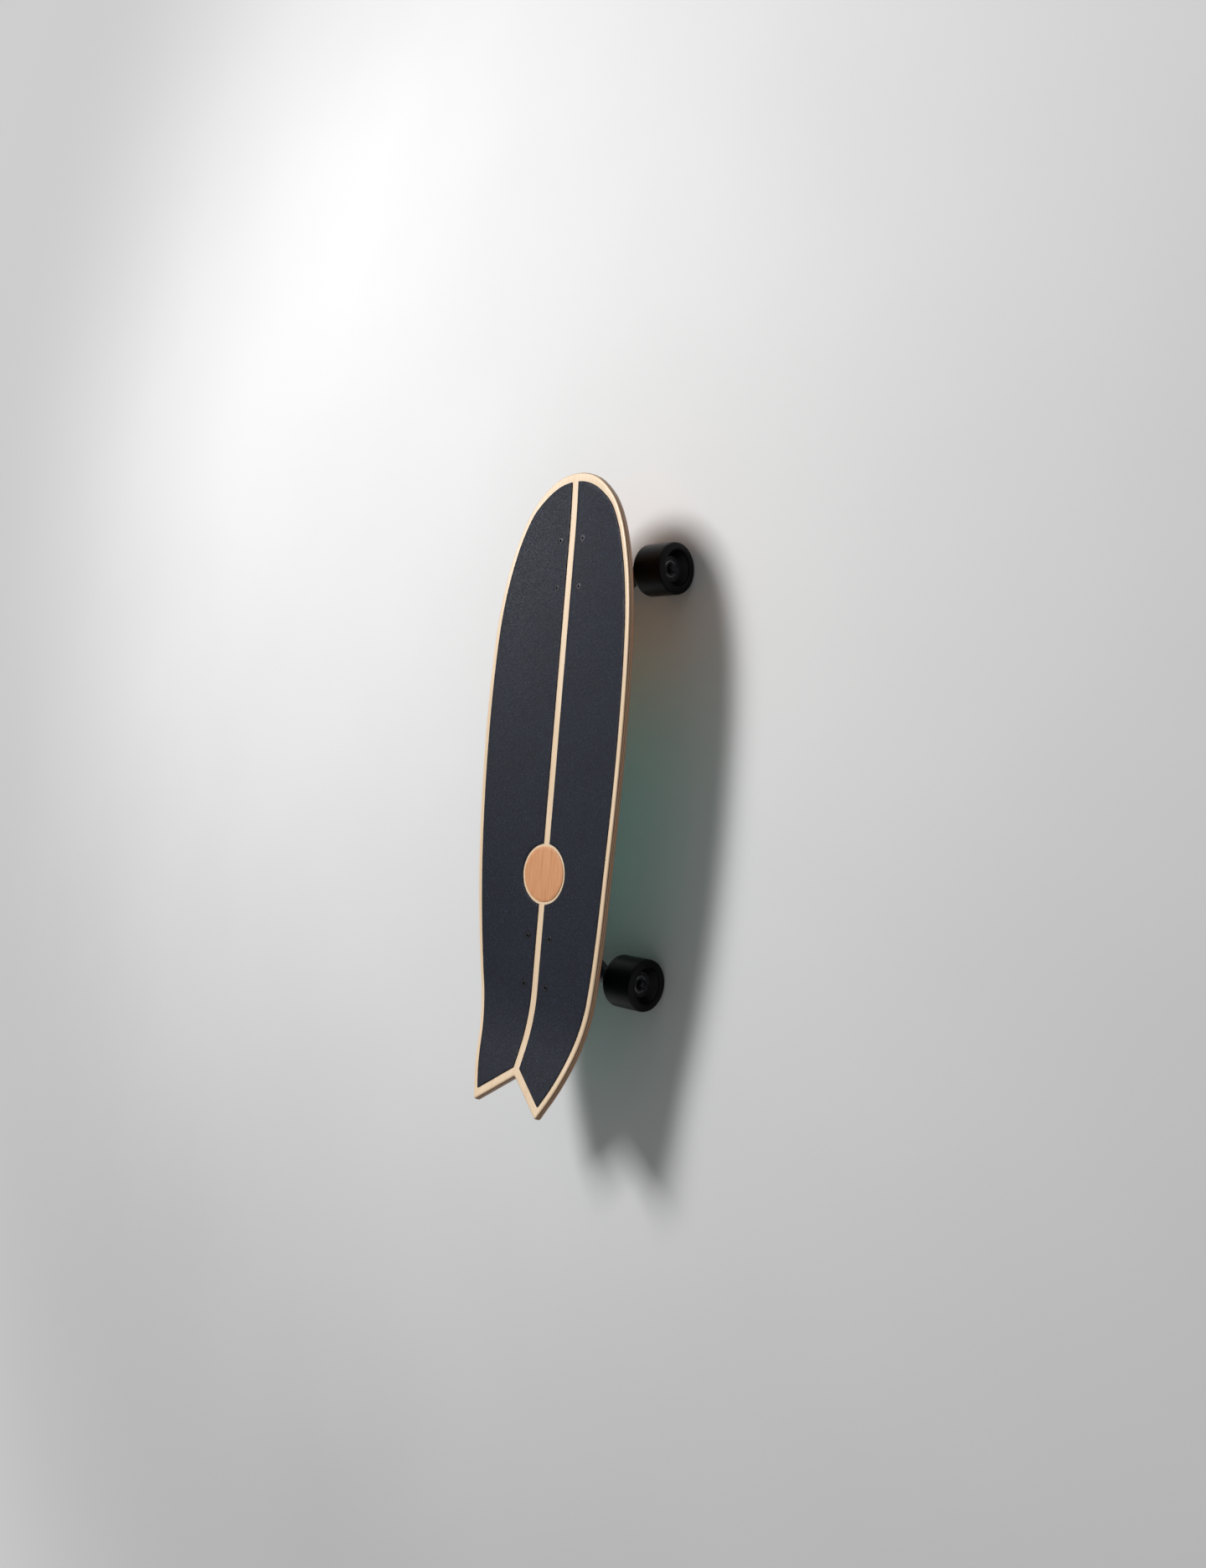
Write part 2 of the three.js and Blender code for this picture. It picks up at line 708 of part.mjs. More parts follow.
function carrierBosses(axle, height) {
  const ring = ringPoint(axle);
  const seatBoss = turned(
    [
      [0, boardStack],
      [seatBossRadius, boardStack],
      [seatBossRadius + webBevel, boardStack + height],
      [0, boardStack + height],
    ],
    bossFacets,
    ring,
    kingpinAxis,
  );
  const bossRadius = pivotCupRadius + pivotBossWall;
  const mouth = pivotReach - pivotCupLength + pivotCupFloor;
  const end = pivotReach + pivotCupFloor + pivotBossEnd;
  const pivotBoss = turned(
    [
      [0, mouth],
      [bossRadius - webBevel / 2, mouth],
      [bossRadius, mouth + webBevel],
      [bossRadius, end - webBevel],
      [bossRadius - webBevel, end],
      [0, end],
    ],
    bossFacets,
    ring,
    steerAxis,
  );
  return [seatBoss, pivotBoss];
}

// Holes for the kingpin, its head and the pivot cup
function carrierCuts(axle, access) {
  const ring = ringPoint(axle);
  const shank = turned(rod(kingpinRadius + seat, 0, kingpinAbove), smallFacets, ring, kingpinAxis);
  const headFrom = kingpinAbove - kingpinHeadHeight - seat;
  const head = turned(
    rod(kingpinRecessRadius, headFrom, kingpinAbove + access),
    bossFacets,
    ring,
    kingpinAxis,
  );
  const mouth = pivotReach - pivotCupLength + pivotCupFloor;
  const socket = turned(
    rod(pivotCupRadius + seat, mouth - webBevel - overrun, pivotReach + pivotCupFloor + 2 * seat),
    bossFacets,
    ring,
    steerAxis,
  );
  return [shank, head, socket];
}

function overMountingFace() {
  const size = 2 * plateLength;
  const block = new THREE.BoxGeometry(size, size, size);
  block.translate(0, 0, size / 2);
  return solidOf(block);
}

function rearBaseplate(axle) {
  const bossHeight = rearTruckHeight - boardStack - plateThickness;
  const inPlate = -plateThickness / 2;
  const web = carrierWeb(axle, [
    new THREE.Vector3(plateLength / 2 - 2 * webBevel, 0, inPlate),
    new THREE.Vector3(ringPoint(axle).x - seatBossRadius, 0, inPlate),
  ]);
  const body = join(mountingPlate(), web, ...carrierBosses(axle, bossHeight));
  const cuts = [...carrierCuts(axle, rearTruckHeight), ...boltHoles(plateThickness)];
  return cut(body, overMountingFace(), ...cuts);
}

// Swivel frame: origin at the thrust bearing's middle, its axis leaning with the top to the nose
const swivelPoint = new THREE.Vector3(swivelForward, 0, -swivelDrop);
const swivelAxis = new THREE.Vector3(Math.sin(radians(swivelLean)), 0, Math.cos(radians(swivelLean)));
const faceHeight = turntableGap / 2;
const coilHalf = faceHeight - seat - springWire / 2;

// The coil's top leg runs inboard on the left side, the bottom leg to the right on the nose side
class TorsionCoil extends THREE.Curve {
  getPoint(share) {
    const leg = springLeg + springSocket;
    const turnLength = 2 * Math.PI * springRadius;
    const whole = 2 * leg + springTurns * turnLength;
    const run = share * whole;
    const bottomEnd = Math.PI / 2 - springTurns * 2 * Math.PI;
    if (run < leg) {
      const side = run - leg;
      return this.onCircle(bottomEnd, side, -coilHalf);
    }
    if (run > whole - leg) return this.onCircle(Math.PI / 2, run - whole + leg, coilHalf);
    const wound = (run - leg) / (whole - 2 * leg);
    const angle = bottomEnd + wound * springTurns * 2 * Math.PI;
    return this.onCircle(angle, 0, coilHalf * (2 * wound - 1));
  }

  // A point on the circle, moved along its tangent
  onCircle(angle, tangent, height) {
    const x = springRadius * Math.cos(angle) - tangent * Math.sin(angle);
    const y = springRadius * Math.sin(angle) + tangent * Math.cos(angle);
    return new THREE.Vector3(x, y, height);
  }
}

function inSwivelFrame(solid) {
  const geometry = geometryOf(solid);
  geometry.rotateY(radians(swivelLean));
  geometry.translate(swivelPoint.x, 0, swivelPoint.z);
  return solidOf(geometry);
}

function returnSpring() {
  const coil = new TorsionCoil();
  const legSteps = 3;
  const steps = Math.round(springTurns * springSteps) + 2 * legSteps;
  const geometry = new THREE.ExtrudeGeometry(polygon(springSides, springWire / 2), {
    steps,
    bevelEnabled: false,
    extrudePath: coil,
  });
  const samples = coil.getSpacedPoints(20 * steps);
  const halfTurn = Math.PI * springRadius;
  const spacing = coil.getLength() / (samples.length - 1);
  let gap = Infinity;
  samples.forEach((point, i) => {
    for (let k = i + Math.ceil(halfTurn / spacing); k < samples.length; k += 1)
      gap = Math.min(gap, point.distanceTo(samples[k]) - springWire);
  });
  console.log(`return spring: least gap between its turns ${gap.toFixed(2)} mm`);
  return inSwivelFrame(solidOf(geometry));
}

// A block that holds one leg of the spring, from a turntable's face to just over the wire
function springLug(angle, reach, height, face) {
  const shape = roundedRectangle(springLugDepth, springLugWidth, springLugDepth / 4);
  const geometry = new THREE.ExtrudeGeometry(shape, {
    depth: Math.abs(face - height) + springLugCover + springWire / 2,
    bevelEnabled: false,
    curveSegments: 2,
  });
  if (face > height) geometry.translate(0, 0, height - springLugCover - springWire / 2);
  else geometry.translate(0, 0, face);
  geometry.rotateZ(angle + Math.PI / 2);
  const side = Math.sign(reach);
  const middle = new TorsionCoil().onCircle(angle, reach + (side * springLugDepth) / 2, 0);
  geometry.translate(middle.x, middle.y, 0);
  return solidOf(geometry);
}

function springHole(angle, reach, height) {
  const side = Math.sign(reach);
  const start = new TorsionCoil().onCircle(angle, reach - side * overrun, height);
  const end = new TorsionCoil().onCircle(angle, reach + side * (springSocket + seat), height);
  const axis = end.clone().sub(start);
  const length = axis.length();
  return turned(
    rod(springWire / 2 + seat, 0, length),
    holeFacets,
    start,
    axis.normalize(),
  );
}

const bottomAngle = Math.PI / 2 - springTurns * 2 * Math.PI;
const topLug = [Math.PI / 2, springLeg, coilHalf];
const bottomLug = [bottomAngle, -springLeg, -coilHalf];

function frontBase() {
  const bossTip = thrustBearing / 2 + seat;
  const reach = swivelDrop + overrun;
  const turntable = turned(
    [
      [0, bossTip],
      [swivelBossRadius, bossTip],
      [swivelBossRadius + webBevel, faceHeight],
      [turntableRadius, faceHeight],
      [turntableRadius, reach],
      [0, reach],
    ],
    wheelFacets,
  );
  const lug = springLug(...topLug, faceHeight + plateThickness / 2);
  const nutFrom = swivelDrop - swivelNutDrop - swivelNutHeight - 2 * seat;
  const pinHole = turned(rod(swivelPinRadius + seat, 0, 2 * swivelDrop), smallFacets);
  const nutRecess = turned(rod(swivelNutRecess, nutFrom, 2 * swivelDrop), bossFacets);
  const swivelParts = inSwivelFrame(cut(join(turntable, lug), springHole(...topLug)));
  return cut(
    join(mountingPlate(), swivelParts),
    overMountingFace(),
    inSwivelFrame(pinHole),
    inSwivelFrame(nutRecess),
    ...boltHoles(plateThickness),
  );
}

function swingArm(axle) {
  const bossTip = thrustBearing / 2 + seat;
  const turntable = turned(
    [
      [0, -faceHeight - turntableThickness],
      [turntableRadius - webBevel, -faceHeight - turntableThickness],
      [turntableRadius, -faceHeight - turntableThickness + webBevel],
      [turntableRadius, -faceHeight],
      [swivelBossRadius + webBevel, -faceHeight],
      [swivelBossRadius, -bossTip],
      [0, -bossTip],
    ],
    wheelFacets,
  );
  const lug = springLug(...bottomLug, -faceHeight - turntableThickness / 2);
  const swivelParts = inSwivelFrame(cut(join(turntable, lug), springHole(...bottomLug)));
  const underFace = step(swivelPoint, swivelAxis, -faceHeight - turntableThickness / 2);
  const swivelAcross = new THREE.Vector3(swivelAxis.z, 0, -swivelAxis.x);
  const webReach = turntableRadius - 2 * webBevel;
  const bossTop = step(ringPoint(axle), kingpinAxis, boardStack + armBossHeight - webBevel);
  const web = carrierWeb(axle, [
    step(underFace, swivelAcross, webReach),
    step(underFace, swivelAcross, -webReach),
    step(bossTop, kingpinNormal, -kingpinRecessRadius),
  ]);
  const body = join(swivelParts, web, ...carrierBosses(axle, armBossHeight));
  const pinHole = turned(
    rod(swivelPinRadius + seat, -swivelPinDepth - seat, 0),
    smallFacets,
    swivelPoint,
    swivelAxis,
  );
  return cut(body, ...carrierCuts(axle, kingpinAccess), pinHole);
}

function swivelPin() {
  const top = swivelDrop - 2 * swivelNutDrop;
  return turned(rod(swivelPinRadius, -swivelPinDepth, top), smallFacets, swivelPoint, swivelAxis);
}

function swivelNut() {
  const top = swivelDrop - swivelNutDrop - swivelNutHeight / 3;
  const bottom = swivelDrop - swivelNutDrop - swivelNutHeight;
  return hexNut(swivelNutAcross, swivelPinRadius + seat, bottom, top, swivelPoint, swivelAxis);
}

function thrustRace() {
  const half = thrustBearing / 2;
  return turned(
    tube(swivelPinRadius + seat, thrustBearingRadius, -half, half),
    bossFacets,
    swivelPoint,
    swivelAxis,
  );
}

// Hanger: a tube round the axle whose arms flare inboard to the ring, and a pivot stub outboard
function hanger(axle, trackHalf) {
  const hangerHalf = trackHalf - bearingReach;
  const ring = ringPoint(axle);
  const facets = smallFacets;
  const positions = [];
  const faces = [];
  for (const share of armShares) {
    const y = share * hangerHalf;
    const flare = 1 - THREE.MathUtils.smoothstep(Math.abs(y), flareInner, flareOuter);
    const inboard = axleTubeRadius + flareReach * flare;
    const outboard = axleTubeRadius - flareWaist * flare;
    const high = axleTubeRadius - flareDip * flare;
    for (let k = 0; k < facets; k += 1) {
      const angle = (2 * Math.PI * k) / facets;
      const x = ((outboard + inboard) / 2) * Math.cos(angle) + (outboard - inboard) / 2;
      positions.push(axle.x + x, y, axle.z + high * Math.sin(angle));
    }
  }
  const at = (i, k) => i * facets + (k % facets);
  const last = armShares.length - 1;
  for (let i = 0; i < last; i += 1)
    for (let k = 0; k < facets; k += 1) {
      faces.push(at(i, k), at(i, k + 1), at(i + 1, k + 1));
      faces.push(at(i, k), at(i + 1, k + 1), at(i + 1, k));
    }
  for (let k = 1; k < facets - 1; k += 1) {
    faces.push(at(0, 0), at(0, k + 1), at(0, k));
    faces.push(at(last, 0), at(last, k), at(last, k + 1));
  }
  const geometry = new THREE.BufferGeometry();
  geometry.setAttribute("position", new THREE.Float32BufferAttribute(positions, 3));
  geometry.setIndex(faces);
  const arms = solidOf(geometry);
  const eye = turned(rod(ringRadius, -ringHalf, ringHalf), bossFacets, ring, kingpinAxis);
  const stub = turned(
    [
      [0, pivotReach - pivotLength],
      [pivotRadius, pivotReach - pivotLength],
      [pivotRadius, pivotReach - pivotRadius / 2],
      [pivotRadius / 2, pivotReach],
      [0, pivotReach],
    ],
    bossFacets,
    ring,
    steerAxis,
  );
  // The web under the steering axis, which leaves room for the kingpin's seat as the hanger leans
  const webCorners = pivotWebShares.map(([reach, rise]) =>
    flat(step(step(ring, steerAxis, reach * pivotReach), steerNormal, rise * pivotRadius)),
  );
  const web = uprightWeb(webCorners, pivotWebWidth, pivotWebBevel);
  const clear = bushingRadius + ringClearance;
  const top = boardStack + seatBossRadius;
  const above = turned(rod(clear, ringHalf, top), bossFacets, ring, kingpinAxis);
  const below = turned(rod(clear, -top, -ringHalf), bossFacets, ring, kingpinAxis);
  const throughRing = rod(ringHoleRadius, -ringThickness, ringThickness);
  const hole = turned(throughRing, bossFacets, ring, kingpinAxis);
  const length = hangerHalf + overrun;
  const bore = turned(
    rod(axleDiameter / 2 + seat, -length, length),
    smallFacets,
    axle,
    new THREE.Vector3(0, 1, 0),
  );
  return cut(join(arms, eye, stub, web), above, below, hole, bore);
}

function kingpin(axle) {
  const ring = ringPoint(axle);
  const shank = turned(
    rod(kingpinRadius, -roadStack - kingpinNutHeight - kingpinEnd, kingpinAbove - kingpinHeadHeight / 2),
    smallFacets,
    ring,
    kingpinAxis,
  );
  const head = hexNut(
    kingpinHeadAcross,
    0,
    kingpinAbove - kingpinHeadHeight,
    kingpinAbove,
    ring,
    kingpinAxis,
  );
  return join(shank, head);
}

function kingpinNut(axle) {
  return hexNut(
    kingpinNutAcross,
    kingpinRadius + seat,
    -roadStack - kingpinNutHeight,
    -roadStack,
    ringPoint(axle),
    kingpinAxis,
  );
}

// A urethane bushing between two heights over the ring centre, slightly waisted
function bushing(axle, from, to, endRadius) {
  const middle = (from + to) / 2;
  const profile = [
    [bushingBore, from],
    [endRadius, from],
    [(bushingRadius + endRadius) / 2 - bushingWaist, middle],
    [bushingRadius, to],
    [bushingBore, to],
  ];
  return turned(profile, bossFacets, ringPoint(axle), kingpinAxis);
}

function boardSideBushing(axle) {
  const from = ringHalf + seat;
  return bushing(axle, from, from + boardBushing, bushingRadius);
}

function roadSideBushing(axle) {
  const to = -ringHalf - seat;
  return bushing(axle, to - roadBushing, to, roadBushingEnd);
}

// A cup washer whose rim turns over the bushing; side is 1 over the ring and -1 under it
function cupWasherAt(axle, side, bushingEnd) {
  const base = side * (bushingEnd + seat);
  const back = base + side * cupWasher;
  const rimStart = base - side * cupWasherRim;
  const inner = cupWasherRadius - cupWasherSheet + 2 * seat;
  const profile = [
    [kingpinRadius + seat, base],
    [inner, base],
    [inner, rimStart],
    [cupWasherRadius + 2 * seat, rimStart],
    [cupWasherRadius + 2 * seat, back],
    [kingpinRadius + seat, back],
  ];
  return turned(profile, bossFacets, ringPoint(axle), kingpinAxis);
}

function pivotCup(axle) {
  const mouth = pivotReach - pivotCupLength + pivotCupFloor + seat;
  const bore = pivotRadius + seat;
  const floor = pivotReach + seat;
  const profile = [
    [0, floor],
    [bore, floor],
    [bore, mouth],
    [pivotCupRadius, mouth],
    [pivotCupRadius, floor + pivotCupFloor - seat],
    [0, floor + pivotCupFloor - seat],
  ];
  return turned(profile, bossFacets, ringPoint(axle), steerAxis);
}

function axleRod(axle, trackHalf) {
  const axleHalf = trackHalf + bearingReach + axleNutHeight + axleEnd;
  const rodRadius = axleDiameter / 2;
  const chamfer = axleEnd / 2;
  const profile = [
    [0, -axleHalf],
    [rodRadius - chamfer, -axleHalf],
    [rodRadius, chamfer - axleHalf],
    [rodRadius, axleHalf - chamfer],
    [rodRadius - chamfer, axleHalf],
    [0, axleHalf],
  ];
  return turned(profile, smallFacets, axle, new THREE.Vector3(0, 1, 0));
}

// Wheel pieces turn about +Y, with the outer face towards +Y and the origin at the wheel's centre

const across = new THREE.Vector3(0, 1, 0);
const inWheel = (profile, facets) => turned(profile, facets, new THREE.Vector3(), across);

function tyre() {
  const half = wheelWidth / 2;
  const tread = treadWidth / 2;
  const coreHalf = coreWidth / 2;
  const shoulder = half - tread;
  const sideRadius = lipRadius + (wheelRadius - lipRadius) / 3;
  const lip = shoulder / 5;
  const outerSide = [
    [coreRadius + seat, coreHalf],
    [lipRadius - lip, half - lip],
    [lipRadius, half],
    [sideRadius, half],
    [wheelRadius - shoulder / 4, tread + shoulder / 2],
    [wheelRadius, tread],
  ];
  const mirrored = outerSide.map(([radius, y]) => [radius, -y]).reverse();
  return inWheel([...mirrored, ...outerSide].reverse(), wheelFacets);
}

function wheelCore() {
  const half = coreWidth / 2 - seat;
  const bore = bearingRadius + seat;
  const profile = [
    [coreShoulderRadius, -coreShoulder],
    [bore, -coreShoulder],
    [bore, -half],
    [coreRadius, -half],
    [coreRadius, half],
    [bore, half],
    [bore, coreShoulder],
    [coreShoulderRadius, coreShoulder],
  ];
  return inWheel(profile, coreFacets);
}

// side is 1 for the bearing near the outer face, which shows its shield, and -1 for the inner one
function bearing(side) {
  const inner = side * (coreShoulder + seat);
  const face = inner + side * bearingWidth;
  const shield = face - side * bearingShieldDepth;
  const profile = [
    [bearingBore, inner],
    [bearingRadius, inner],
    [bearingRadius, face],
  ];
  if (side > 0) {
    profile.push([bearingRadius - bearingRingWidth, face]);
    profile.push([bearingRadius - bearingRingWidth, shield]);
    profile.push([bearingBore + bearingRingWidth, shield]);
    profile.push([bearingBore + bearingRingWidth, face]);
  }
  profile.push([bearingBore, face]);
  return inWheel(profile, coreFacets);
}

function axleNut() {
  return hexNut(
    axleNutAcross,
    axleDiameter / 2 + seat,
    bearingReach,
    bearingReach + axleNutHeight,
    new THREE.Vector3(),
    across,
  );
}

// Assembly

const board = new THREE.Group();
const place = (group, name, solid, look) => group.add(meshOf(name, solid, look));

const top = new THREE.Group();
top.position.z = deckTop;
board.add(top);
place(top, "deck", deck(), maple);
place(top, "griptape_left", gripPanel(1), gripBlack);
place(top, "griptape_right", gripPanel(-1), gripBlack);
place(top, "round_inlay", roundInlay(), stainedWood);
for (const [name, along, side, truck] of boltPlaces) {
  const surface = deckPoint(along, side, 0).z;
  const bolt = deckBolt(truck === "front" ? frontRiser : rearRiser, surface);
  const mesh = meshOf(name, bolt, blackSteel);
  mesh.position.set(patternX(along), side, surface);
  top.add(mesh);
}

function truckGroup(name, along, riser) {
  const pad = meshOf(`${name}_riser`, riserPad(riser), rubberPad);
  pad.position.set(patternX(along), 0, -underDeck - riser);
  top.add(pad);
  const group = new THREE.Group();
  group.position.set(patternX(along), 0, -underDeck - riser - seat);
  top.add(group);
  return group;
}

function commonPieces(group, name, axle, trackHalf) {
  place(group, `${name}_kingpin`, kingpin(axle), blackSteel);
  place(group, `${name}_kingpin_nut`, kingpinNut(axle), zincPlated);
  place(group, `${name}_bushing_board_side`, boardSideBushing(axle), bushingRed);
  place(group, `${name}_bushing_road_side`, roadSideBushing(axle), bushingRed);
  const boardEnd = ringHalf + seat + boardBushing;
  const roadEnd = ringHalf + seat + roadBushing;
  place(group, `${name}_cup_washer_board_side`, cupWasherAt(axle, 1, boardEnd), zincPlated);
  place(group, `${name}_cup_washer_road_side`, cupWasherAt(axle, -1, roadEnd), zincPlated);
  place(group, `${name}_pivot_cup`, pivotCup(axle), rubberPad);
  place(group, `${name}_hanger`, hanger(axle, trackHalf), blackPaint);
  place(group, `${name}_axle`, axleRod(axle, trackHalf), blackSteel);
}

function wheelPieces(group, name, axle, side, trackHalf) {
  const wheel = new THREE.Group();
  wheel.position.set(axle.x, side * trackHalf, axle.z);
  if (side < 0) wheel.rotation.z = Math.PI;
  group.add(wheel);
  place(wheel, `${name}_tyre`, tyre(), urethane);
  place(wheel, `${name}_wheel_core`, wheelCore(), hubPlastic);
  place(wheel, `${name}_inner_bearing`, bearing(-1), bearingSteel);
  place(wheel, `${name}_outer_bearing`, bearing(1), bearingSteel);
  place(wheel, `${name}_axle_nut`, axleNut(), blackSteel);
}

const frontAxle = axlePoint(frontAxleOffset, frontTruckHeight);
const front = truckGroup("front", rearHolesFromTail + mountingWheelbase, frontRiser);
place(front, "front_base", frontBase(), blackPaint);
place(front, "swing_arm", swingArm(frontAxle), blackPaint);
place(front, "swivel_pin", swivelPin(), blackSteel);
place(front, "swivel_nut", swivelNut(), zincPlated);
place(front, "swivel_thrust_bearing", thrustRace(), bearingSteel);
place(front, "return_spring", returnSpring(), springSteel);
commonPieces(front, "front", frontAxle, frontTrackHalf);
wheelPieces(front, "front_left", frontAxle, 1, frontTrackHalf);
wheelPieces(front, "front_right", frontAxle, -1, frontTrackHalf);

const rearAxle = axlePoint(rearAxleOffset, rearTruckHeight);
const rear = truckGroup("rear", rearHolesFromTail, rearRiser);
rear.rotation.z = Math.PI;
place(rear, "rear_baseplate", rearBaseplate(rearAxle), blackPaint);
commonPieces(rear, "rear", rearAxle, rearTrackHalf);
wheelPieces(rear, "rear_right", rearAxle, 1, rearTrackHalf);
wheelPieces(rear, "rear_left", rearAxle, -1, rearTrackHalf);

export default board;
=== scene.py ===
import math

import bmesh
import bpy
import numpy as np
from mathutils import Matrix, Vector
from mathutils.geometry import delaunay_2d_cdt


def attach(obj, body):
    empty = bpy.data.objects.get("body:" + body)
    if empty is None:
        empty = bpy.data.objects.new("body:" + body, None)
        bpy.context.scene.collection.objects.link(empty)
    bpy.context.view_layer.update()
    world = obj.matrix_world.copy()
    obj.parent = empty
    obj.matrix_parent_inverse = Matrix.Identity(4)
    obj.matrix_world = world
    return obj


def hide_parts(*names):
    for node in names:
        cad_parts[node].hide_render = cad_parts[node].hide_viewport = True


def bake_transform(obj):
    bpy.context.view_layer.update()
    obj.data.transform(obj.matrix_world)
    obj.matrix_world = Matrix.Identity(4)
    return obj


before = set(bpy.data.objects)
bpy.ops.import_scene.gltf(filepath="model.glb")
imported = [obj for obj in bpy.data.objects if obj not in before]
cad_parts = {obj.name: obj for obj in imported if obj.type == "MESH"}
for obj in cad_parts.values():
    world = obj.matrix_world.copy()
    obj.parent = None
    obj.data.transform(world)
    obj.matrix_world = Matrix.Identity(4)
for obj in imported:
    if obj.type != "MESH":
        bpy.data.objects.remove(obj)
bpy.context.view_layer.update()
scene = bpy.context.scene
mm = 0.001
fit = 0.3  # the gap of running and resting fits, in mm
print("frame loaded")

# Lengths in the dictionaries are millimetres, measured along the real board

camera = {
    "place": (-14.2, -1220.4, 1268.7),
    "right": (0.08260, -0.71125, -0.69807),
    "down": (-0.99646, -0.04785, -0.06915),
    "focalPixels": 1515.2,
    "longSidePixels": 1872,
    "sensor": 36,
    "farthest": 60000,
}


def makeCamera(values):
    right, down = (Vector(values[key]).normalized() for key in ("right", "down"))
    back = right.cross(-down).normalized()
    turn = Matrix((right, -down, back)).transposed().to_4x4()
    data = bpy.data.cameras.new("camera")
    data.sensor_width = values["sensor"]
    data.lens = values["focalPixels"] / values["longSidePixels"] * values["sensor"]
    data.clip_end = values["farthest"] * mm
    eye = bpy.data.objects.new("camera", data)
    eye.matrix_world = Matrix.Translation(Vector(values["place"]) * mm) @ turn
    scene.collection.objects.link(eye)
    scene.camera = eye


makeCamera(camera)


# Materials


def toLinear(code):  # an sRGB hex value as linear red, green, blue and alpha
    parts = [int(code[i : i + 2], 16) / 255 for i in (1, 3, 5)]
    return [c / 12.92 if c <= 0.04045 else ((c + 0.055) / 1.055) ** 2.4 for c in parts] + [1]


def output(node):  # the first output that a node has in use
    return next(socket for socket in node.outputs if socket.enabled)


# Adds a node with its settings and links. An input is given as a value, a socket or a node.
def addNode(tree, kind, inputs=None, stops=None, **settings):
    node = tree.nodes.new(kind)
    for key, value in settings.items():
        setattr(node, key, value)
    for key, value in (inputs or {}).items():
        if isinstance(value, bpy.types.Node):
            value = output(value)
        if isinstance(value, bpy.types.NodeSocket):
            tree.links.new(value, node.inputs[key])
        else:
            node.inputs[key].default_value = value
    if stops:
        ramp = node.color_ramp
        while len(ramp.elements) < len(stops):
            ramp.elements.new(0.5)
        for element, (place, code) in zip(ramp.elements, stops):
            element.position = place
            element.color = toLinear(code)
    return node


def newMaterial(name, **constants):
    material = bpy.data.materials.new(name)
    material.use_nodes = True
    tree = material.node_tree
    shader = tree.nodes["Principled BSDF"]
    for key, value in constants.items():
        shader.inputs[key.replace("_", " ")].default_value = value
    return material, tree


# Ends a material: its colour, its roughness, and a relief in mm from a pattern of heights
def dress(material, colour, rough, height, strength, relief):
    tree = material.node_tree
    shader = tree.nodes["Principled BSDF"]
    bump = addNode(tree, "ShaderNodeBump", {
        "Height": height, "Strength": strength, "Distance": relief * mm})
    for name, node in (("Base Color", colour), ("Roughness", rough), ("Normal", bump)):
        tree.links.new(output(node), shader.inputs[name])
    return material


def perMetre(*sizes):  # the repeats per metre of a pattern, from its sizes in mm
    return [1 / (size * mm) for size in sizes]


noiseSpan = {"From Min": 0.3, "From Max": 0.7}  # where most of a noise's values lie

# Finishes that differ only in their numbers: two colours, the size of the cloudy patches and of
# the fine grain and the depth of the grain in mm, two roughnesses, and whether it is metal
finishKeys = ("dark", "light", "mottle", "grain", "relief", "smooth", "rough", "metallic")
finishes = {
    # gravity-cast aluminium under a satin powder coat: a fine orange peel and soft highlights
    "powderCoatedCasting": ("#121315", "#1E1F22", 9, 0.9, 0.05, 0.38, 0.56, 0),
    # steel with bright zinc plating: cool, a little cloudy, finely grained
    "zincPlatedSteel": ("#9A9DA2", "#C9CCD0", 4, 0.5, 0.015, 0.24, 0.4, 1),
    # steel blackened in an oxide bath: near black with a dull metal sheen
    "blackOxideSteel": ("#151517", "#434347", 3, 0.5, 0.015, 0.3, 0.45, 1),
    # ground and hardened bearing steel: smooth and bright
    "groundBearingSteel": ("#6C6F74", "#989BA0", 2, 0.3, 0.008, 0.18, 0.3, 1),
    # drawn spring wire, oil hardened: grey with a soft sheen
    "oiledSpringWire": ("#5E6166", "#94979C", 5, 0.7, 0.02, 0.25, 0.42, 1),
    # cast urethane bushings: waxy, warm and slightly cloudy
    "castUrethaneBushing": ("#5E2318", "#8A3A28", 7, 1.1, 0.03, 0.35, 0.5, 0),
    # moulded rubber pads: dull, dusty black
    "mouldedRubber": ("#151515", "#242424", 12, 0.8, 0.05, 0.65, 0.85, 0),
    # glass-filled nylon hub: fine moulded grain, slightly greyer than the urethane
    "mouldedNylonHub": ("#17171A", "#25252A", 5, 0.5, 0.03, 0.38, 0.55, 0),
    # nitrile seal of a bearing: soft black
    "nitrileSeal": ("#101011", "#1D1D1F", 3, 0.4, 0.02, 0.5, 0.7, 0),
}


def finishMaterial(name, look):
    material, tree = newMaterial(name, Metallic=look["metallic"])
    place = addNode(tree, "ShaderNodeTexCoord").outputs["Object"]
    patches, specks = perMetre(look["mottle"], look["grain"])
    mottle = addNode(tree, "ShaderNodeTexNoise", {
        "Vector": place, "Scale": patches, "Detail": 4.0, "Roughness": 0.6})
    grain = addNode(tree, "ShaderNodeTexNoise", {
        "Vector": place, "Scale": specks, "Detail": 3.0, "Roughness": 0.55})
    colour = addNode(tree, "ShaderNodeValToRGB", {"Fac": mottle},
                     stops=[(0.3, look["dark"]), (0.7, look["light"])])
    rough = addNode(tree, "ShaderNodeMapRange", {
        "Value": grain, **noiseSpan, "To Min": look["smooth"], "To Max": look["rough"]})
    return dress(material, colour, rough, grain, 0.6, look["relief"])


materials = {name: finishMaterial(name, dict(zip(finishKeys, row)))
             for name, row in finishes.items()}

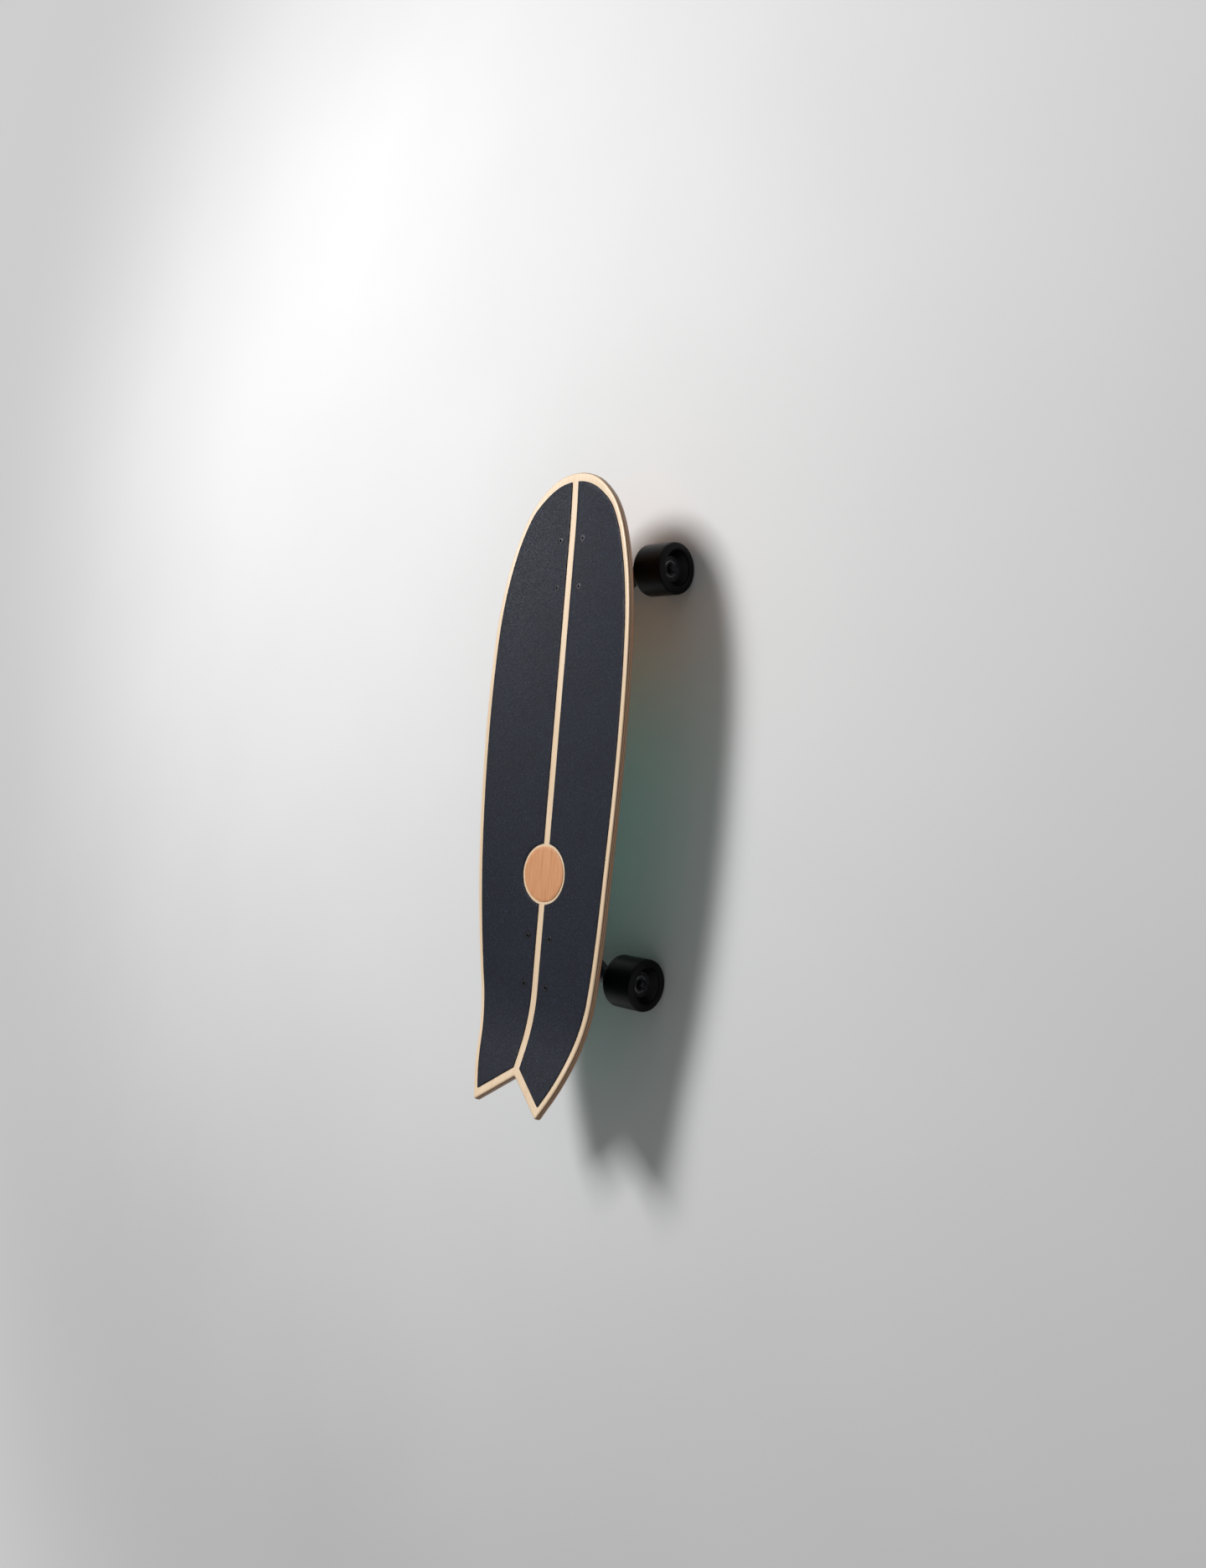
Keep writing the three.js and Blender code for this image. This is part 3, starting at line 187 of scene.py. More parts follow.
deckLook = {
    "veneer": ("#D9BC98", "#E9D1B3"),  # clear-lacquered maple, dark and light of its grain
    "pores": "#C5A27A",
    "plies": ("#A67E52", "#543420", "#B08758", "#8C4022"),
    "amber": "#D98A1E",
    "teal": "#0C9C86",
    "fadeFrom": 560,
    "fadeTo": 700,
    "fadeSway": 80,
    "grain": (110, 1.3, 2.0),  # length, width and depth of a fibre
    "broadGrain": (2.6, 46.0, 0.0),  # repeats per metre along, across and through the deck
    "relief": 0.06,
}


# Rotary-cut maple veneers pressed into a deck and sprayed with clear lacquer. The face shows long
# pale grain, the edge the stacked plies, and the underside a stain that fades between two colours.
def deckMaterial(look, thickness):
    material, tree = newMaterial("lacqueredMaplePly", IOR=1.5, Coat_Weight=0.45,
                                 Coat_Roughness=0.33)
    place = addNode(tree, "ShaderNodeAttribute", attribute_name="deckPlace").outputs["Vector"]
    parts = addNode(tree, "ShaderNodeSeparateXYZ", {"Vector": place}).outputs
    stretch = addNode(tree, "ShaderNodeMapping", {
        "Vector": place, "Scale": perMetre(*look["grain"])})
    fibre = addNode(tree, "ShaderNodeTexNoise", {
        "Vector": stretch, "Scale": 1.0, "Detail": 5.0, "Roughness": 0.62, "Distortion": 0.4})
    broad = addNode(tree, "ShaderNodeMapping", {"Vector": place, "Scale": look["broadGrain"]})
    cathedral = addNode(tree, "ShaderNodeTexNoise", {
        "Vector": broad, "Scale": 1.0, "Detail": 4.0, "Roughness": 0.5, "Distortion": 1.6})
    grain = addNode(tree, "ShaderNodeMix", {"Factor": 0.35, "A": fibre, "B": cathedral})
    face = addNode(tree, "ShaderNodeValToRGB", {"Fac": grain}, stops=[
        (0.24, look["pores"]), (0.4, look["veneer"][0]), (0.66, look["veneer"][1])])
    # Edge: depth as a share of the thickness picks the ply
    share = addNode(tree, "ShaderNodeMath", {0: parts["Z"], 1: 1 / (thickness * mm)},
                    operation="MULTIPLY")
    pale, dark, warm, stained = look["plies"]
    plies = addNode(tree, "ShaderNodeValToRGB", {"Fac": share}, stops=[
        (0.0, look["veneer"][1]), (0.13, pale), (0.16, dark), (0.27, dark), (0.3, warm),
        (0.42, pale), (0.45, dark), (0.55, dark), (0.58, pale), (0.7, warm), (0.73, stained),
        (0.83, stained), (0.86, pale), (0.985, pale)])
    pressed = addNode(tree, "ShaderNodeMix", {
        "Factor": 0.45, "A": plies, "B": fibre.outputs["Color"]},
        data_type="RGBA", blend_type="SOFT_LIGHT")
    onEdge = addNode(tree, "ShaderNodeMapRange", {
        "Value": share, "From Min": 0.03, "From Max": 0.09})
    upper = addNode(tree, "ShaderNodeMix", {"Factor": onEdge, "A": face, "B": pressed},
                    data_type="RGBA")
    # Underside: one stain runs into the other, with a little sway across the board
    sway = addNode(tree, "ShaderNodeTexNoise", {"Vector": place, "Scale": 3.0, "Detail": 2.0})
    run = addNode(tree, "ShaderNodeMath", {0: sway, 1: look["fadeSway"] * mm, 2: parts["X"]},
                  operation="MULTIPLY_ADD")
    fade = addNode(tree, "ShaderNodeMapRange", {
        "Value": run, "From Min": look["fadeFrom"] * mm, "From Max": look["fadeTo"] * mm},
        interpolation_type="SMOOTHSTEP")
    stain = addNode(tree, "ShaderNodeMix", {
        "Factor": fade, "A": toLinear(look["teal"]), "B": toLinear(look["amber"])},
        data_type="RGBA")
    grained = addNode(tree, "ShaderNodeMix", {"Factor": 0.4, "A": stain, "B": grain},
                      data_type="RGBA", blend_type="OVERLAY")
    under = addNode(tree, "ShaderNodeMapRange", {
        "Value": share, "From Min": 0.93, "From Max": 0.96})
    colour = addNode(tree, "ShaderNodeMix", {"Factor": under, "A": upper, "B": grained},
                     data_type="RGBA")
    rough = addNode(tree, "ShaderNodeMapRange", {
        "Value": fibre, **noiseSpan, "To Min": 0.34, "To Max": 0.5})
    return dress(material, colour, rough, grain, 0.5, look["relief"])


gripLook = {"resin": "#080A12", "grain": "#181C2A", "fleckAndGlint": "#505A72", "grit": 1.1, "dust": 0.7,
            "worn": 60, "relief": 0.3}


# Silicon carbide grit in black resin on a film: a matt black with pale flecks that are partly the
# grit's lighter grains and partly painted glints. The real grit is about 0.2 mm. It is drawn at
# about 1 mm, so that it shows.
def gripMaterial(look):
    material, tree = newMaterial("siliconCarbideGrip", IOR=1.55, Specular_IOR_Level=0.16)
    place = addNode(tree, "ShaderNodeAttribute", attribute_name="deckPlace").outputs["Vector"]
    grains, specks, patches = perMetre(look["grit"], look["dust"], look["worn"])
    grit = addNode(tree, "ShaderNodeTexVoronoi", {
        "Vector": place, "Scale": grains, "Randomness": 1.0})
    dust = addNode(tree, "ShaderNodeTexNoise", {
        "Vector": place, "Scale": specks, "Detail": 3.0, "Roughness": 0.7})
    worn = addNode(tree, "ShaderNodeTexNoise", {
        "Vector": place, "Scale": patches, "Detail": 5.0, "Roughness": 0.6})
    tone = addNode(tree, "ShaderNodeSeparateColor", {"Color": grit.outputs["Color"]}).outputs
    mixed = addNode(tree, "ShaderNodeMix", {"Factor": 0.5, "A": tone["Red"], "B": dust})
    # The pale fleck colour is painted glint of the grit as well as its lighter grains
    base = addNode(tree, "ShaderNodeValToRGB", {"Fac": mixed}, stops=[
        (0.2, look["resin"]), (0.72, look["grain"]), (0.93, look["fleckAndGlint"])])
    cloudy = addNode(tree, "ShaderNodeMapRange", {
        "Value": worn, **noiseSpan, "To Min": 0.86, "To Max": 1.12})
    tinted = addNode(tree, "ShaderNodeVectorMath", {0: base, "Scale": cloudy}, operation="SCALE")
    rough = addNode(tree, "ShaderNodeMapRange", {
        "Value": tone["Green"], "To Min": 0.42, "To Max": 0.72})
    return dress(material, tinted, rough, mixed, 0.6, look["relief"])


inlayLook = {"dark": "#B9784A", "light": "#D79E70", "grain": (60, 1.6), "relief": 0.05}


# Maple veneer stained orange-brown and left matt: warm, with fine darker fibres along the board
def inlayMaterial(look):
    material, tree = newMaterial("stainedVeneer", IOR=1.48)
    place = addNode(tree, "ShaderNodeAttribute", attribute_name="deckPlace").outputs["Vector"]
    stretch = addNode(tree, "ShaderNodeMapping", {
        "Vector": place, "Scale": perMetre(*look["grain"]) + [0]})
    fibre = addNode(tree, "ShaderNodeTexNoise", {
        "Vector": stretch, "Scale": 1.0, "Detail": 6.0, "Roughness": 0.65, "Distortion": 0.3})
    colour = addNode(tree, "ShaderNodeValToRGB", {"Fac": fibre},
                     stops=[(0.3, look["dark"]), (0.7, look["light"])])
    rough = addNode(tree, "ShaderNodeMapRange", {"Value": fibre, "To Min": 0.5, "To Max": 0.66})
    return dress(material, colour, rough, fibre, 0.4, look["relief"])


treadLook = {"skin": "#030304", "scuffed": "#0B0B0C", "scuff": (22, 1.4), "rings": 5.5,
             "relief": 0.05}


# Urethane poured into a mould and turned on a lathe: near black and satin, with turning rings on
# the faces and a duller, scuffed tread. The rings are drawn wide enough to show.
def treadMaterial(look):
    material, tree = newMaterial("pouredUrethaneTyre", IOR=1.5, Specular_IOR_Level=0.1)
    place = addNode(tree, "ShaderNodeUVMap", uv_map="roundAndAcross")
    scuffs = addNode(tree, "ShaderNodeMapping", {
        "Vector": place, "Scale": perMetre(*look["scuff"]) + [1]})
    marks = addNode(tree, "ShaderNodeTexNoise", {
        "Vector": scuffs, "Scale": 1.0, "Detail": 5.0, "Roughness": 0.7})
    rings = addNode(tree, "ShaderNodeTexWave", {
        "Vector": place, "Scale": perMetre(look["rings"])[0], "Distortion": 0.6},
        bands_direction="Y")
    colour = addNode(tree, "ShaderNodeValToRGB", {"Fac": marks},
                     stops=[(0.4, look["skin"]), (0.75, look["scuffed"])])
    rough = addNode(tree, "ShaderNodeMapRange", {
        "Value": marks, "From Min": 0.35, "From Max": 0.7, "To Min": 0.3, "To Max": 0.52})
    height = addNode(tree, "ShaderNodeMix", {
        "Factor": 0.35, "A": marks, "B": rings.outputs["Fac"]})
    return dress(material, colour, rough, height, 0.4, look["relief"])


# Shapes are a pair: an array of points in mm, and a list of faces


def lathe(profile, segments=96):  # [radius, height] turned about +Z, from axis to axis or a loop
    angles = np.arange(segments) * 2 * math.pi / segments
    points, rings = [], []
    for radius, height in profile:
        if radius == 0:
            rings.append([len(points)])
            points.append((0, 0, height))
        else:
            rings.append(list(range(len(points), len(points) + segments)))
            points += [(radius * math.cos(a), radius * math.sin(a), height) for a in angles]
    pairs = list(zip(rings, rings[1:]))
    if len(rings[0]) > 1:
        pairs.append((rings[-1], rings[0]))
    faces = []
    for low, high in pairs:
        for k in range(segments):
            n = (k + 1) % segments
            if len(low) == 1:
                faces.append((low[0], high[n], high[k]))
            elif len(high) == 1:
                faces.append((low[k], low[n], high[0]))
            else:
                faces.append((low[k], low[n], high[n], high[k]))
    return np.array(points, float), faces


def cylinder(radius, low, high, segments=96):
    return lathe([(0, low), (radius, low), (radius, high), (0, high)], segments)


def prism(outline, low, high):  # a flat outline raised along +Z
    count = len(outline)
    points = [(x, y, z) for z in (low, high) for x, y in outline]
    faces = [tuple(reversed(range(count))), tuple(range(count, 2 * count))]
    faces += [(k, (k + 1) % count, count + (k + 1) % count, count + k) for k in range(count)]
    return np.array(points, float), faces


def circle(radius, count):
    return [(radius * math.cos(2 * math.pi * k / count),
             radius * math.sin(2 * math.pi * k / count)) for k in range(count)]


def bands(starts, count):  # the faces between rings of points, from the index where each starts
    return [(a + k, a + (k + 1) % count, b + (k + 1) % count, b + k)
            for a, b in zip(starts, starts[1:]) for k in range(count)]


def eased(share):  # a smooth step from 0 to 1
    return share * share * (3 - 2 * share)


def rounded(points, radii, steps=6, closed=True):  # the corners of a line, each with its radius
    points = [np.array(p, float) for p in points]
    if not isinstance(radii, (list, tuple)):
        radii = [radii] * len(points)
    made = []
    for i, (corner, radius) in enumerate(zip(points, radii)):
        before, after = points[i - 1] - corner, points[(i + 1) % len(points)] - corner
        a, b = np.linalg.norm(before), np.linalg.norm(after)
        before, after = before / a, after / b
        half = math.acos(max(-1, min(1, float(before @ after)))) / 2
        straight = half > 1.54  # over 88 of 90 degrees
        if radius == 0 or straight or (not closed and i in (0, len(points) - 1)):
            made.append(corner)
            continue
        reach = min(radius / math.tan(half), 0.48 * a, 0.48 * b)  # under half of each side
        radius = reach * math.tan(half)
        inward = (before + after) / np.linalg.norm(before + after)
        centre = corner + inward * radius / math.sin(half)
        start = corner + before * reach - centre
        turn = math.copysign(math.pi - 2 * half, before[1] * after[0] - before[0] * after[1])
        for k in range(steps + 1):
            c, d = math.cos(turn * k / steps), math.sin(turn * k / steps)
            made.append(centre + (c * start[0] - d * start[1], d * start[0] + c * start[1]))
    return made


def moved(shape, matrix):
    points, faces = shape
    turn = np.array(matrix.to_3x3())
    return points @ turn.T + np.array(matrix.translation), faces


def joined(shapes):
    points, faces, start = [], [], 0
    for some, others in shapes:
        points.append(some)
        faces += [tuple(i + start for i in face) for face in others]
        start += len(some)
    return np.concatenate(points), faces


def makeObject(name, *shapes, merge=0.0005):
    points, faces = joined(shapes)
    mesh = bpy.data.meshes.new(name)
    mesh.from_pydata((points * mm).tolist(), [], faces)
    builder = bmesh.new()
    builder.from_mesh(mesh)
    if merge:
        bmesh.ops.remove_doubles(builder, verts=builder.verts, dist=merge * mm)
    bmesh.ops.recalc_face_normals(builder, faces=builder.faces)
    builder.to_mesh(mesh)
    builder.free()
    piece = bpy.data.objects.new(name, mesh)
    scene.collection.objects.link(piece)
    return piece


def settle(piece):  # turns a piece with modifiers into its plain mesh
    graph = bpy.context.evaluated_depsgraph_get()
    mesh = bpy.data.meshes.new_from_object(piece.evaluated_get(graph))
    piece.modifiers.clear()
    piece.data = mesh


# Gives a piece its material, smooth faces with edges sharp from an angle up, and its records
def finish(piece, material, body, nodes, sharp=32):
    mesh = piece.data
    if material:
        mesh.materials.clear()
        mesh.materials.append(material)
    mesh.polygons.foreach_set("use_smooth", [True] * len(mesh.polygons))
    mesh.set_sharp_from_angle(angle=math.radians(sharp))
    if body:
        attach(piece, body)
    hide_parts(*nodes)


def addPiece(name, shape, material, body, node):  # a finished piece from one shape
    piece = makeObject(name, shape)
    finish(piece, materials[material], body, [node])
    return piece


def cutAway(piece, *cutters):  # takes closed shapes away from a piece
    for shape in cutters:
        tool = makeObject("tool", shape)
        modifier = piece.modifiers.new("cut", "BOOLEAN")
        modifier.operation = "DIFFERENCE"
        modifier.solver = "MANIFOLD"
        modifier.object = tool
        settle(piece)
        bpy.data.objects.remove(tool)


casting = {"voxel": 0.8, "softness": 0.5, "smoothing": 12, "sharp": 40}


# A cast piece: its overlapping forms are melted together, every corner gets a casting's radius,
# and the machined cuts come last
def castPiece(name, forms, cuts, body, node):
    piece = makeObject(name, *forms)
    melt = piece.modifiers.new("melt", "REMESH")
    melt.mode = "VOXEL"
    melt.voxel_size = casting["voxel"] * mm
    soften = piece.modifiers.new("soften", "SMOOTH")
    soften.factor = casting["softness"]
    soften.iterations = casting["smoothing"]
    settle(piece)
    cutAway(piece, *cuts)
    finish(piece, materials["powderCoatedCasting"], body, [node],
           casting["sharp"])


# Places in the board's frame

trucks = {
    "front": {"x": 298.844, "mount": 109.0, "height": 74.5, "offset": 3, "turn": 0, "riser": 4,
              "track": 85.5},
    "rear": {"x": -227.156, "mount": 99.0, "height": 64.5, "offset": 18, "turn": 180, "riser": 14,
             "track": 92.5},
}


def truckFrame(truck):
    turn = Matrix.Rotation(math.radians(truck["turn"]), 4, "Z")
    return Matrix.Translation((truck["x"], 0, truck["mount"])) @ turn


def along(matrix, origin, axis):  # +Z of a shape along an axis from an origin, in a truck's frame
    turn = Vector((0, 0, 1)).rotation_difference(Vector(axis)).to_matrix().to_4x4()
    return matrix @ Matrix.Translation(origin) @ turn


# Geometry nodes


def newTree(name, sockets):  # a modifier's node group with its named inputs
    tree = bpy.data.node_groups.new(name, "GeometryNodeTree")
    tree.is_modifier = True
    tree.interface.new_socket("Geometry", in_out="INPUT", socket_type="NodeSocketGeometry")
    for title, kind, value in sockets:
        socket = tree.interface.new_socket(title, in_out="INPUT", socket_type="NodeSocket" + kind)
        if value is not None:
            socket.default_value = value
    tree.interface.new_socket("Geometry", in_out="OUTPUT", socket_type="NodeSocketGeometry")
    return tree, addNode(tree, "NodeGroupInput").outputs


def closeTree(tree, given, shape):  # each tree ends in plain geometry with its material
    real = addNode(tree, "GeometryNodeRealizeInstances", {"Geometry": shape})
    dressed = addNode(tree, "GeometryNodeSetMaterial", {
        "Geometry": real, "Material": given["Finish"]})
    addNode(tree, "NodeGroupOutput", {"Geometry": dressed})
    return tree


def copiesTree():  # copies a piece onto points, turned by each point's own angle and a little more
    tree, given = newTree("copiesOnPoints", [
        ("Piece", "Object", None), ("Finish", "Material", None),
        ("Loose turn", "Float", 0.0), ("Seed", "Int", 7)])
    model = addNode(tree, "GeometryNodeObjectInfo", {"Object": given["Piece"]})
    own = addNode(tree, "GeometryNodeInputNamedAttribute", {"Name": "turn"},
                  data_type="FLOAT_VECTOR")
    chance = addNode(tree, "FunctionNodeRandomValue", {
        "Max": given["Loose turn"], "Seed": given["Seed"]}, data_type="FLOAT")
    extra = addNode(tree, "ShaderNodeCombineXYZ", {"Z": chance})
    total = addNode(tree, "ShaderNodeVectorMath", {0: own, 1: extra}, operation="ADD")
    copies = addNode(tree, "GeometryNodeInstanceOnPoints", {
        "Points": given["Geometry"], "Instance": model.outputs["Geometry"], "Rotation": total})
    return closeTree(tree, given, copies)


def wireTree():  # a round wire along a path of edges
    tree, given = newTree("wireAlongPath", [
        ("Radius", "Float", 0.001), ("Sides", "Int", 12), ("Finish", "Material", None)])
    path = addNode(tree, "GeometryNodeMeshToCurve", {"Mesh": given["Geometry"]})
    ring = addNode(tree, "GeometryNodeCurvePrimitiveCircle", {
        "Radius": given["Radius"], "Resolution": given["Sides"]})
    tube = addNode(tree, "GeometryNodeCurveToMesh", {
        "Curve": path, "Profile Curve": ring, "Fill Caps": True})
    return closeTree(tree, given, tube)


def runTree(piece, tree, values):
    modifier = piece.modifiers.new("nodes", "NODES")
    modifier.node_group = tree
    for item in tree.interface.items_tree:
        if item.in_out == "INPUT" and item.name in values:
            modifier[item.identifier] = values[item.name]
    settle(piece)


copies, wire = copiesTree(), wireTree()


def copyOnPoints(name, model, places, turns, material, looseTurn=0.0):
    mesh = bpy.data.meshes.new(name)
    mesh.from_pydata([Vector(p) * mm for p in places], [], [])
    mesh.attributes.new("turn", "FLOAT_VECTOR", "POINT").data.foreach_set(
        "vector", np.array(turns, float).ravel())
    piece = bpy.data.objects.new(name, mesh)
    scene.collection.objects.link(piece)
    runTree(piece, copies, {"Piece": model, "Finish": material, "Loose turn": looseTurn})
    return piece


print("materials and tools ready")

# Deck, griptape and inlay

deck = {
    "length": 841, "width": 261.5, "thickness": 10.5, "edgeRadius": 3.2, "edgeSteps": 6,
    "tipSpread": 120, "tipOverhang": 1.6, "tipRadius": 3.6, "notchDepth": 43, "notchRadius": 2.0,
    "kickStart": 157.6, "kickRadius": 245, "kickAngle": 19.07, "concaveRise": 11.5,
    "concaveRun": 360, "noseLift": 3, "noseLiftRun": 90, "topHeight": 124.1, "mesh": 5.0,
    "railSteps": 240, "notchSteps": 16,
}
# Half outline from a tail tip to the nose: share of the length, share of the half width
outlineShares = [
    (0.0533, 0.616), (0.1153, 0.728), (0.1873, 0.823), (0.2795, 0.9), (0.4042, 0.962),
    (0.5508, 1), (0.6955, 0.99), (0.7845, 0.946), (0.8564, 0.856), (0.9153, 0.7255),
    (0.9571, 0.559), (0.9902, 0.294),
]
bolts = {
    "rearMiddle": 195, "wheelbase": 526, "patternLength": 63.5, "patternWidth": 41.3,
    "headRadius": 4.6, "hole": 2.8, "seat": 0.3, "sinkSlope": 0.9, "holeSegments": 28,
}
# An edge is how far the top face is drawn in, and how deep the edge is softened
grip = {
    "border": 8, "noseBorder": 11.6, "noseRun": 50, "tailBorder": 12, "stripe": 11.4,
    "thickness": 0.89, "edge": (0.35, 0.3), "tailCorner": 2.5, "noseCorner": 1.0, "seat": 0.3,
    "arcSteps": 60, "railSteps": 200, "opening": 80.4, "inlayFromTail": 309.8, "inlay": 73,
    "inlayThickness": 0.6, "inlayEdge": (0.3, 0.25), "mesh": 4.0,
}


def outlineCurve(values):  # the rail as a function of u, from a tail tip at 0 to the nose at 1
    half = values["width"] / 2
    knots = [(-values["tipOverhang"], values["tipSpread"] / 2)]
    knots += [(s * values["length"], w * half) for s, w in outlineShares]
    beyond = [(x, -y) for x, y in reversed(knots[-2:])]
    knots = np.array(knots + [(values["length"], 0)] + beyond, float)
    pieces = len(outlineShares) + 1

    def at(u):
        i = min(int(u * pieces), pieces - 1)
        w = u * pieces - i
        p1, p2, p3 = knots[i], knots[i + 1], knots[i + 2]
        p0 = knots[i - 1] if i else 2 * knots[0] - knots[1]
        d0, d1, d2 = (np.linalg.norm(b - a) ** 0.5 for a, b in ((p0, p1), (p1, p2), (p2, p3)))
        t1 = ((p1 - p0) / d0 - (p2 - p0) / (d0 + d1) + (p2 - p1) / d1) * d1
        t2 = ((p2 - p1) / d1 - (p3 - p1) / (d1 + d2) + (p3 - p2) / d2) * d1
        c2, c3 = -3 * p1 + 3 * p2 - 2 * t1 - t2, 2 * p1 - 2 * p2 + t1 + t2
        return p1 + t1 * w + c2 * w * w + c3 * w**3

    return at


rail = outlineCurve(deck)


def railPoint(u, inset):
    step = 1e-4
    point = rail(u)
    ahead = rail(min(u + step, 1)) - rail(max(u - step, 0))
    ahead /= np.linalg.norm(ahead)
    return point + inset * np.array([ahead[1], -ahead[0]])


notchRun, tipHalf = deck["notchDepth"] + deck["tipOverhang"], deck["tipSpread"] / 2
notchSlant = math.hypot(tipHalf, notchRun)


def fromNotch(point):  # distance from the notch's edge line
    return ((point[0] - deck["notchDepth"]) * tipHalf + point[1] * notchRun) / notchSlant


def deckPoints(plan, lift):  # points on the bent deck, from plan points and a lift over its top
    values = deck
    s, y = plan[:, 0], plan[:, 1]
    bent = np.maximum(0, values["kickStart"] - s)
    angle = np.minimum(bent / values["kickRadius"], math.radians(values["kickAngle"]))
    straight = bent - angle * values["kickRadius"]
    x = np.maximum(0, s - values["kickStart"]) - values["kickRadius"] * np.sin(angle)
    x = x - straight * np.cos(angle)
    z = values["kickRadius"] * (1 - np.cos(angle)) + straight * np.sin(angle)
    depth = values["concaveRise"] * eased(np.clip(s / values["concaveRun"], 0, 1))
    nose = np.maximum(0, (s - values["length"]) / values["noseLiftRun"] + 1)
    rise = depth * (2 * y / values["width"]) ** 2 + values["noseLift"] * nose**2 + lift
    return np.stack([x + rise * np.sin(angle), y, z + rise * np.cos(angle)], 1)


tailEnd = np.array([[0, tipHalf]])
lowEdge = deck["edgeRadius"] - deck["thickness"]
middleX = (deckPoints(tailEnd, lowEdge)[0, 0]
           + deckPoints(np.array([[deck["length"], 0]]), 0)[0, 0]) / 2
toBoard = Matrix.Translation((-middleX, 0, deck["topHeight"]))


def deckOutline():  # the whole plan outline, anticlockwise
    values = deck
    tip, root = np.array([-values["tipOverhang"], tipHalf]), np.array([values["notchDepth"], 0])
    side = [rail(u) for u in np.linspace(0, 1, values["railSteps"] + 1)]
    side = [p for p in side[1:-1] if np.linalg.norm(p - tip) > 3 * values["tipRadius"]]
    notch = [root + (tip - root) * share
             for share in np.linspace(0.12, 0.84, values["notchSteps"])]
    half = notch + [tip] + side
    radii = [0.0] * len(notch) + [values["tipRadius"]] + [0.0] * len(side)
    nose = np.array([values["length"], 0])
    across = [p * (1, -1) for p in reversed(half)]
    line = [root, *half, nose, *across]
    line = rounded(line, [values["notchRadius"], *radii, 0.0, *reversed(radii)], steps=8)
    return line[::-1]


def denser(line, step):  # splits the long sides of a closed line
    made = []
    for a, b in zip(line, line[1:] + line[:1]):
        parts = max(1, math.ceil(np.linalg.norm(b - a) / step))
        made += [a + (b - a) * k / parts for k in range(parts)]
    return made


def insetLine(line, inset):  # moves a closed anticlockwise line inwards
    line = np.array(line)
    before, after = line - np.roll(line, 1, 0), np.roll(line, -1, 0) - line
    before /= np.linalg.norm(before, axis=1)[:, None]
    after /= np.linalg.norm(after, axis=1)[:, None]
    middle = before + after
    middle /= np.linalg.norm(middle, axis=1)[:, None]
    stretch = 1 / np.maximum(0.5, (middle * after).sum(1))
    return line + inset * stretch[:, None] * np.stack([-middle[:, 1], middle[:, 0]], 1)


def insideLoop(points, loop):  # which points lie inside a closed line
    inside = np.zeros(len(points), bool)
    x, y = points[:, 0], points[:, 1]
    for a, b in zip(loop, np.roll(loop, -1, 0)):
        crosses = (a[1] > y) != (b[1] > y)
        if crosses.any():
            inside ^= crosses & (x < a[0] + (y - a[1]) / (b[1] - a[1] + 1e-12) * (b[0] - a[0]))
    return inside


def insidePlan(points, loops):  # which points lie in an outline and outside its holes
    keep = insideLoop(points, loops[0])
    for loop in loops[1:]:
        keep &= ~insideLoop(points, loop)
    return keep


# Fills a plan outline and its holes with triangles on a grid. It returns the plan points, with
# the loops first in their own order, and the triangles.
def filledPlan(loops, mesh):
    loops = [np.array(loop) for loop in loops]
    low, high = loops[0].min(0), loops[0].max(0)
    xs, ys = np.arange(low[0], high[0], mesh), np.arange(low[1], high[1], mesh)
    gridX, gridY = np.meshgrid(xs, ys)
    gridX[1::2] += mesh / 2
    grid = np.stack([gridX.ravel(), gridY.ravel()], 1)
    grid = grid[insidePlan(grid, loops)]
    rim = np.concatenate(loops)
    near = np.full(len(grid), np.inf)
    for point in rim:
        near = np.minimum(near, ((grid - point) ** 2).sum(1))
    grid = grid[near > (0.5 * mesh) ** 2]
    points = np.concatenate([rim, grid])
    edges, start = [], 0
    for loop in loops:
        count = len(loop)
        edges += [(start + k, start + (k + 1) % count) for k in range(count)]
        start += count
    made = delaunay_2d_cdt([Vector(p) for p in points], edges, [], 0, 1e-7, True)
    names = [ids[0] for ids in made[3]]
    triangles = np.array([[names[i] for i in face] for face in made[2]])
    keep = insidePlan(points[triangles].mean(1), loops)
    return points, [tuple(t) for t in triangles[keep].tolist()]


def hole(place, radius):
    return [(place[0] + x, place[1] + y)
            for x, y in reversed(circle(radius, bolts["holeSegments"]))]


# A sheet on the deck. Each layer is how far the outline is drawn in, its lift over the deck's top
# and the radius of its holes. The first layer is closed by the upper face, the last by the lower.
def makeSheet(name, outline, holes, layers, mesh, material, node):
    plans, lifts, faces, start, starts = [], [], [], 0, []
    for k, (inset, lift, bore) in enumerate(layers):
        loops = [insetLine(outline, inset)] + [hole(place, bore) for place in holes]
        if k in (0, len(layers) - 1):
            plan, triangles = filledPlan(loops, mesh)
            if k:
                triangles = [t[::-1] for t in triangles]
            faces += [tuple(i + start for i in t) for t in triangles]
        else:
            plan = np.concatenate([np.array(loop) for loop in loops])
        plans.append(plan)
        lifts.append(np.full(len(plan), float(lift)))
        starts.append(start)
        start += len(plan)
    for upper, lower in zip(starts, starts[1:]):
        at = 0
        for size in map(len, loops):
            for k in range(size):
                a, b = at + k, at + (k + 1) % size
                faces.append((upper + a, lower + a, lower + b, upper + b))
            at += size
    plan, lift = np.concatenate(plans), np.concatenate(lifts)
    shape = moved((deckPoints(plan, lift), faces), toBoard)
    piece = makeObject(name, shape, merge=0)
    place = np.stack([plan[:, 0], plan[:, 1], -lift], 1) * mm
    piece.data.attributes.new("deckPlace", "FLOAT_VECTOR", "POINT").data.foreach_set(
        "vector", place.astype(np.float32).ravel())
    finish(piece, material, "board", [node], 50)


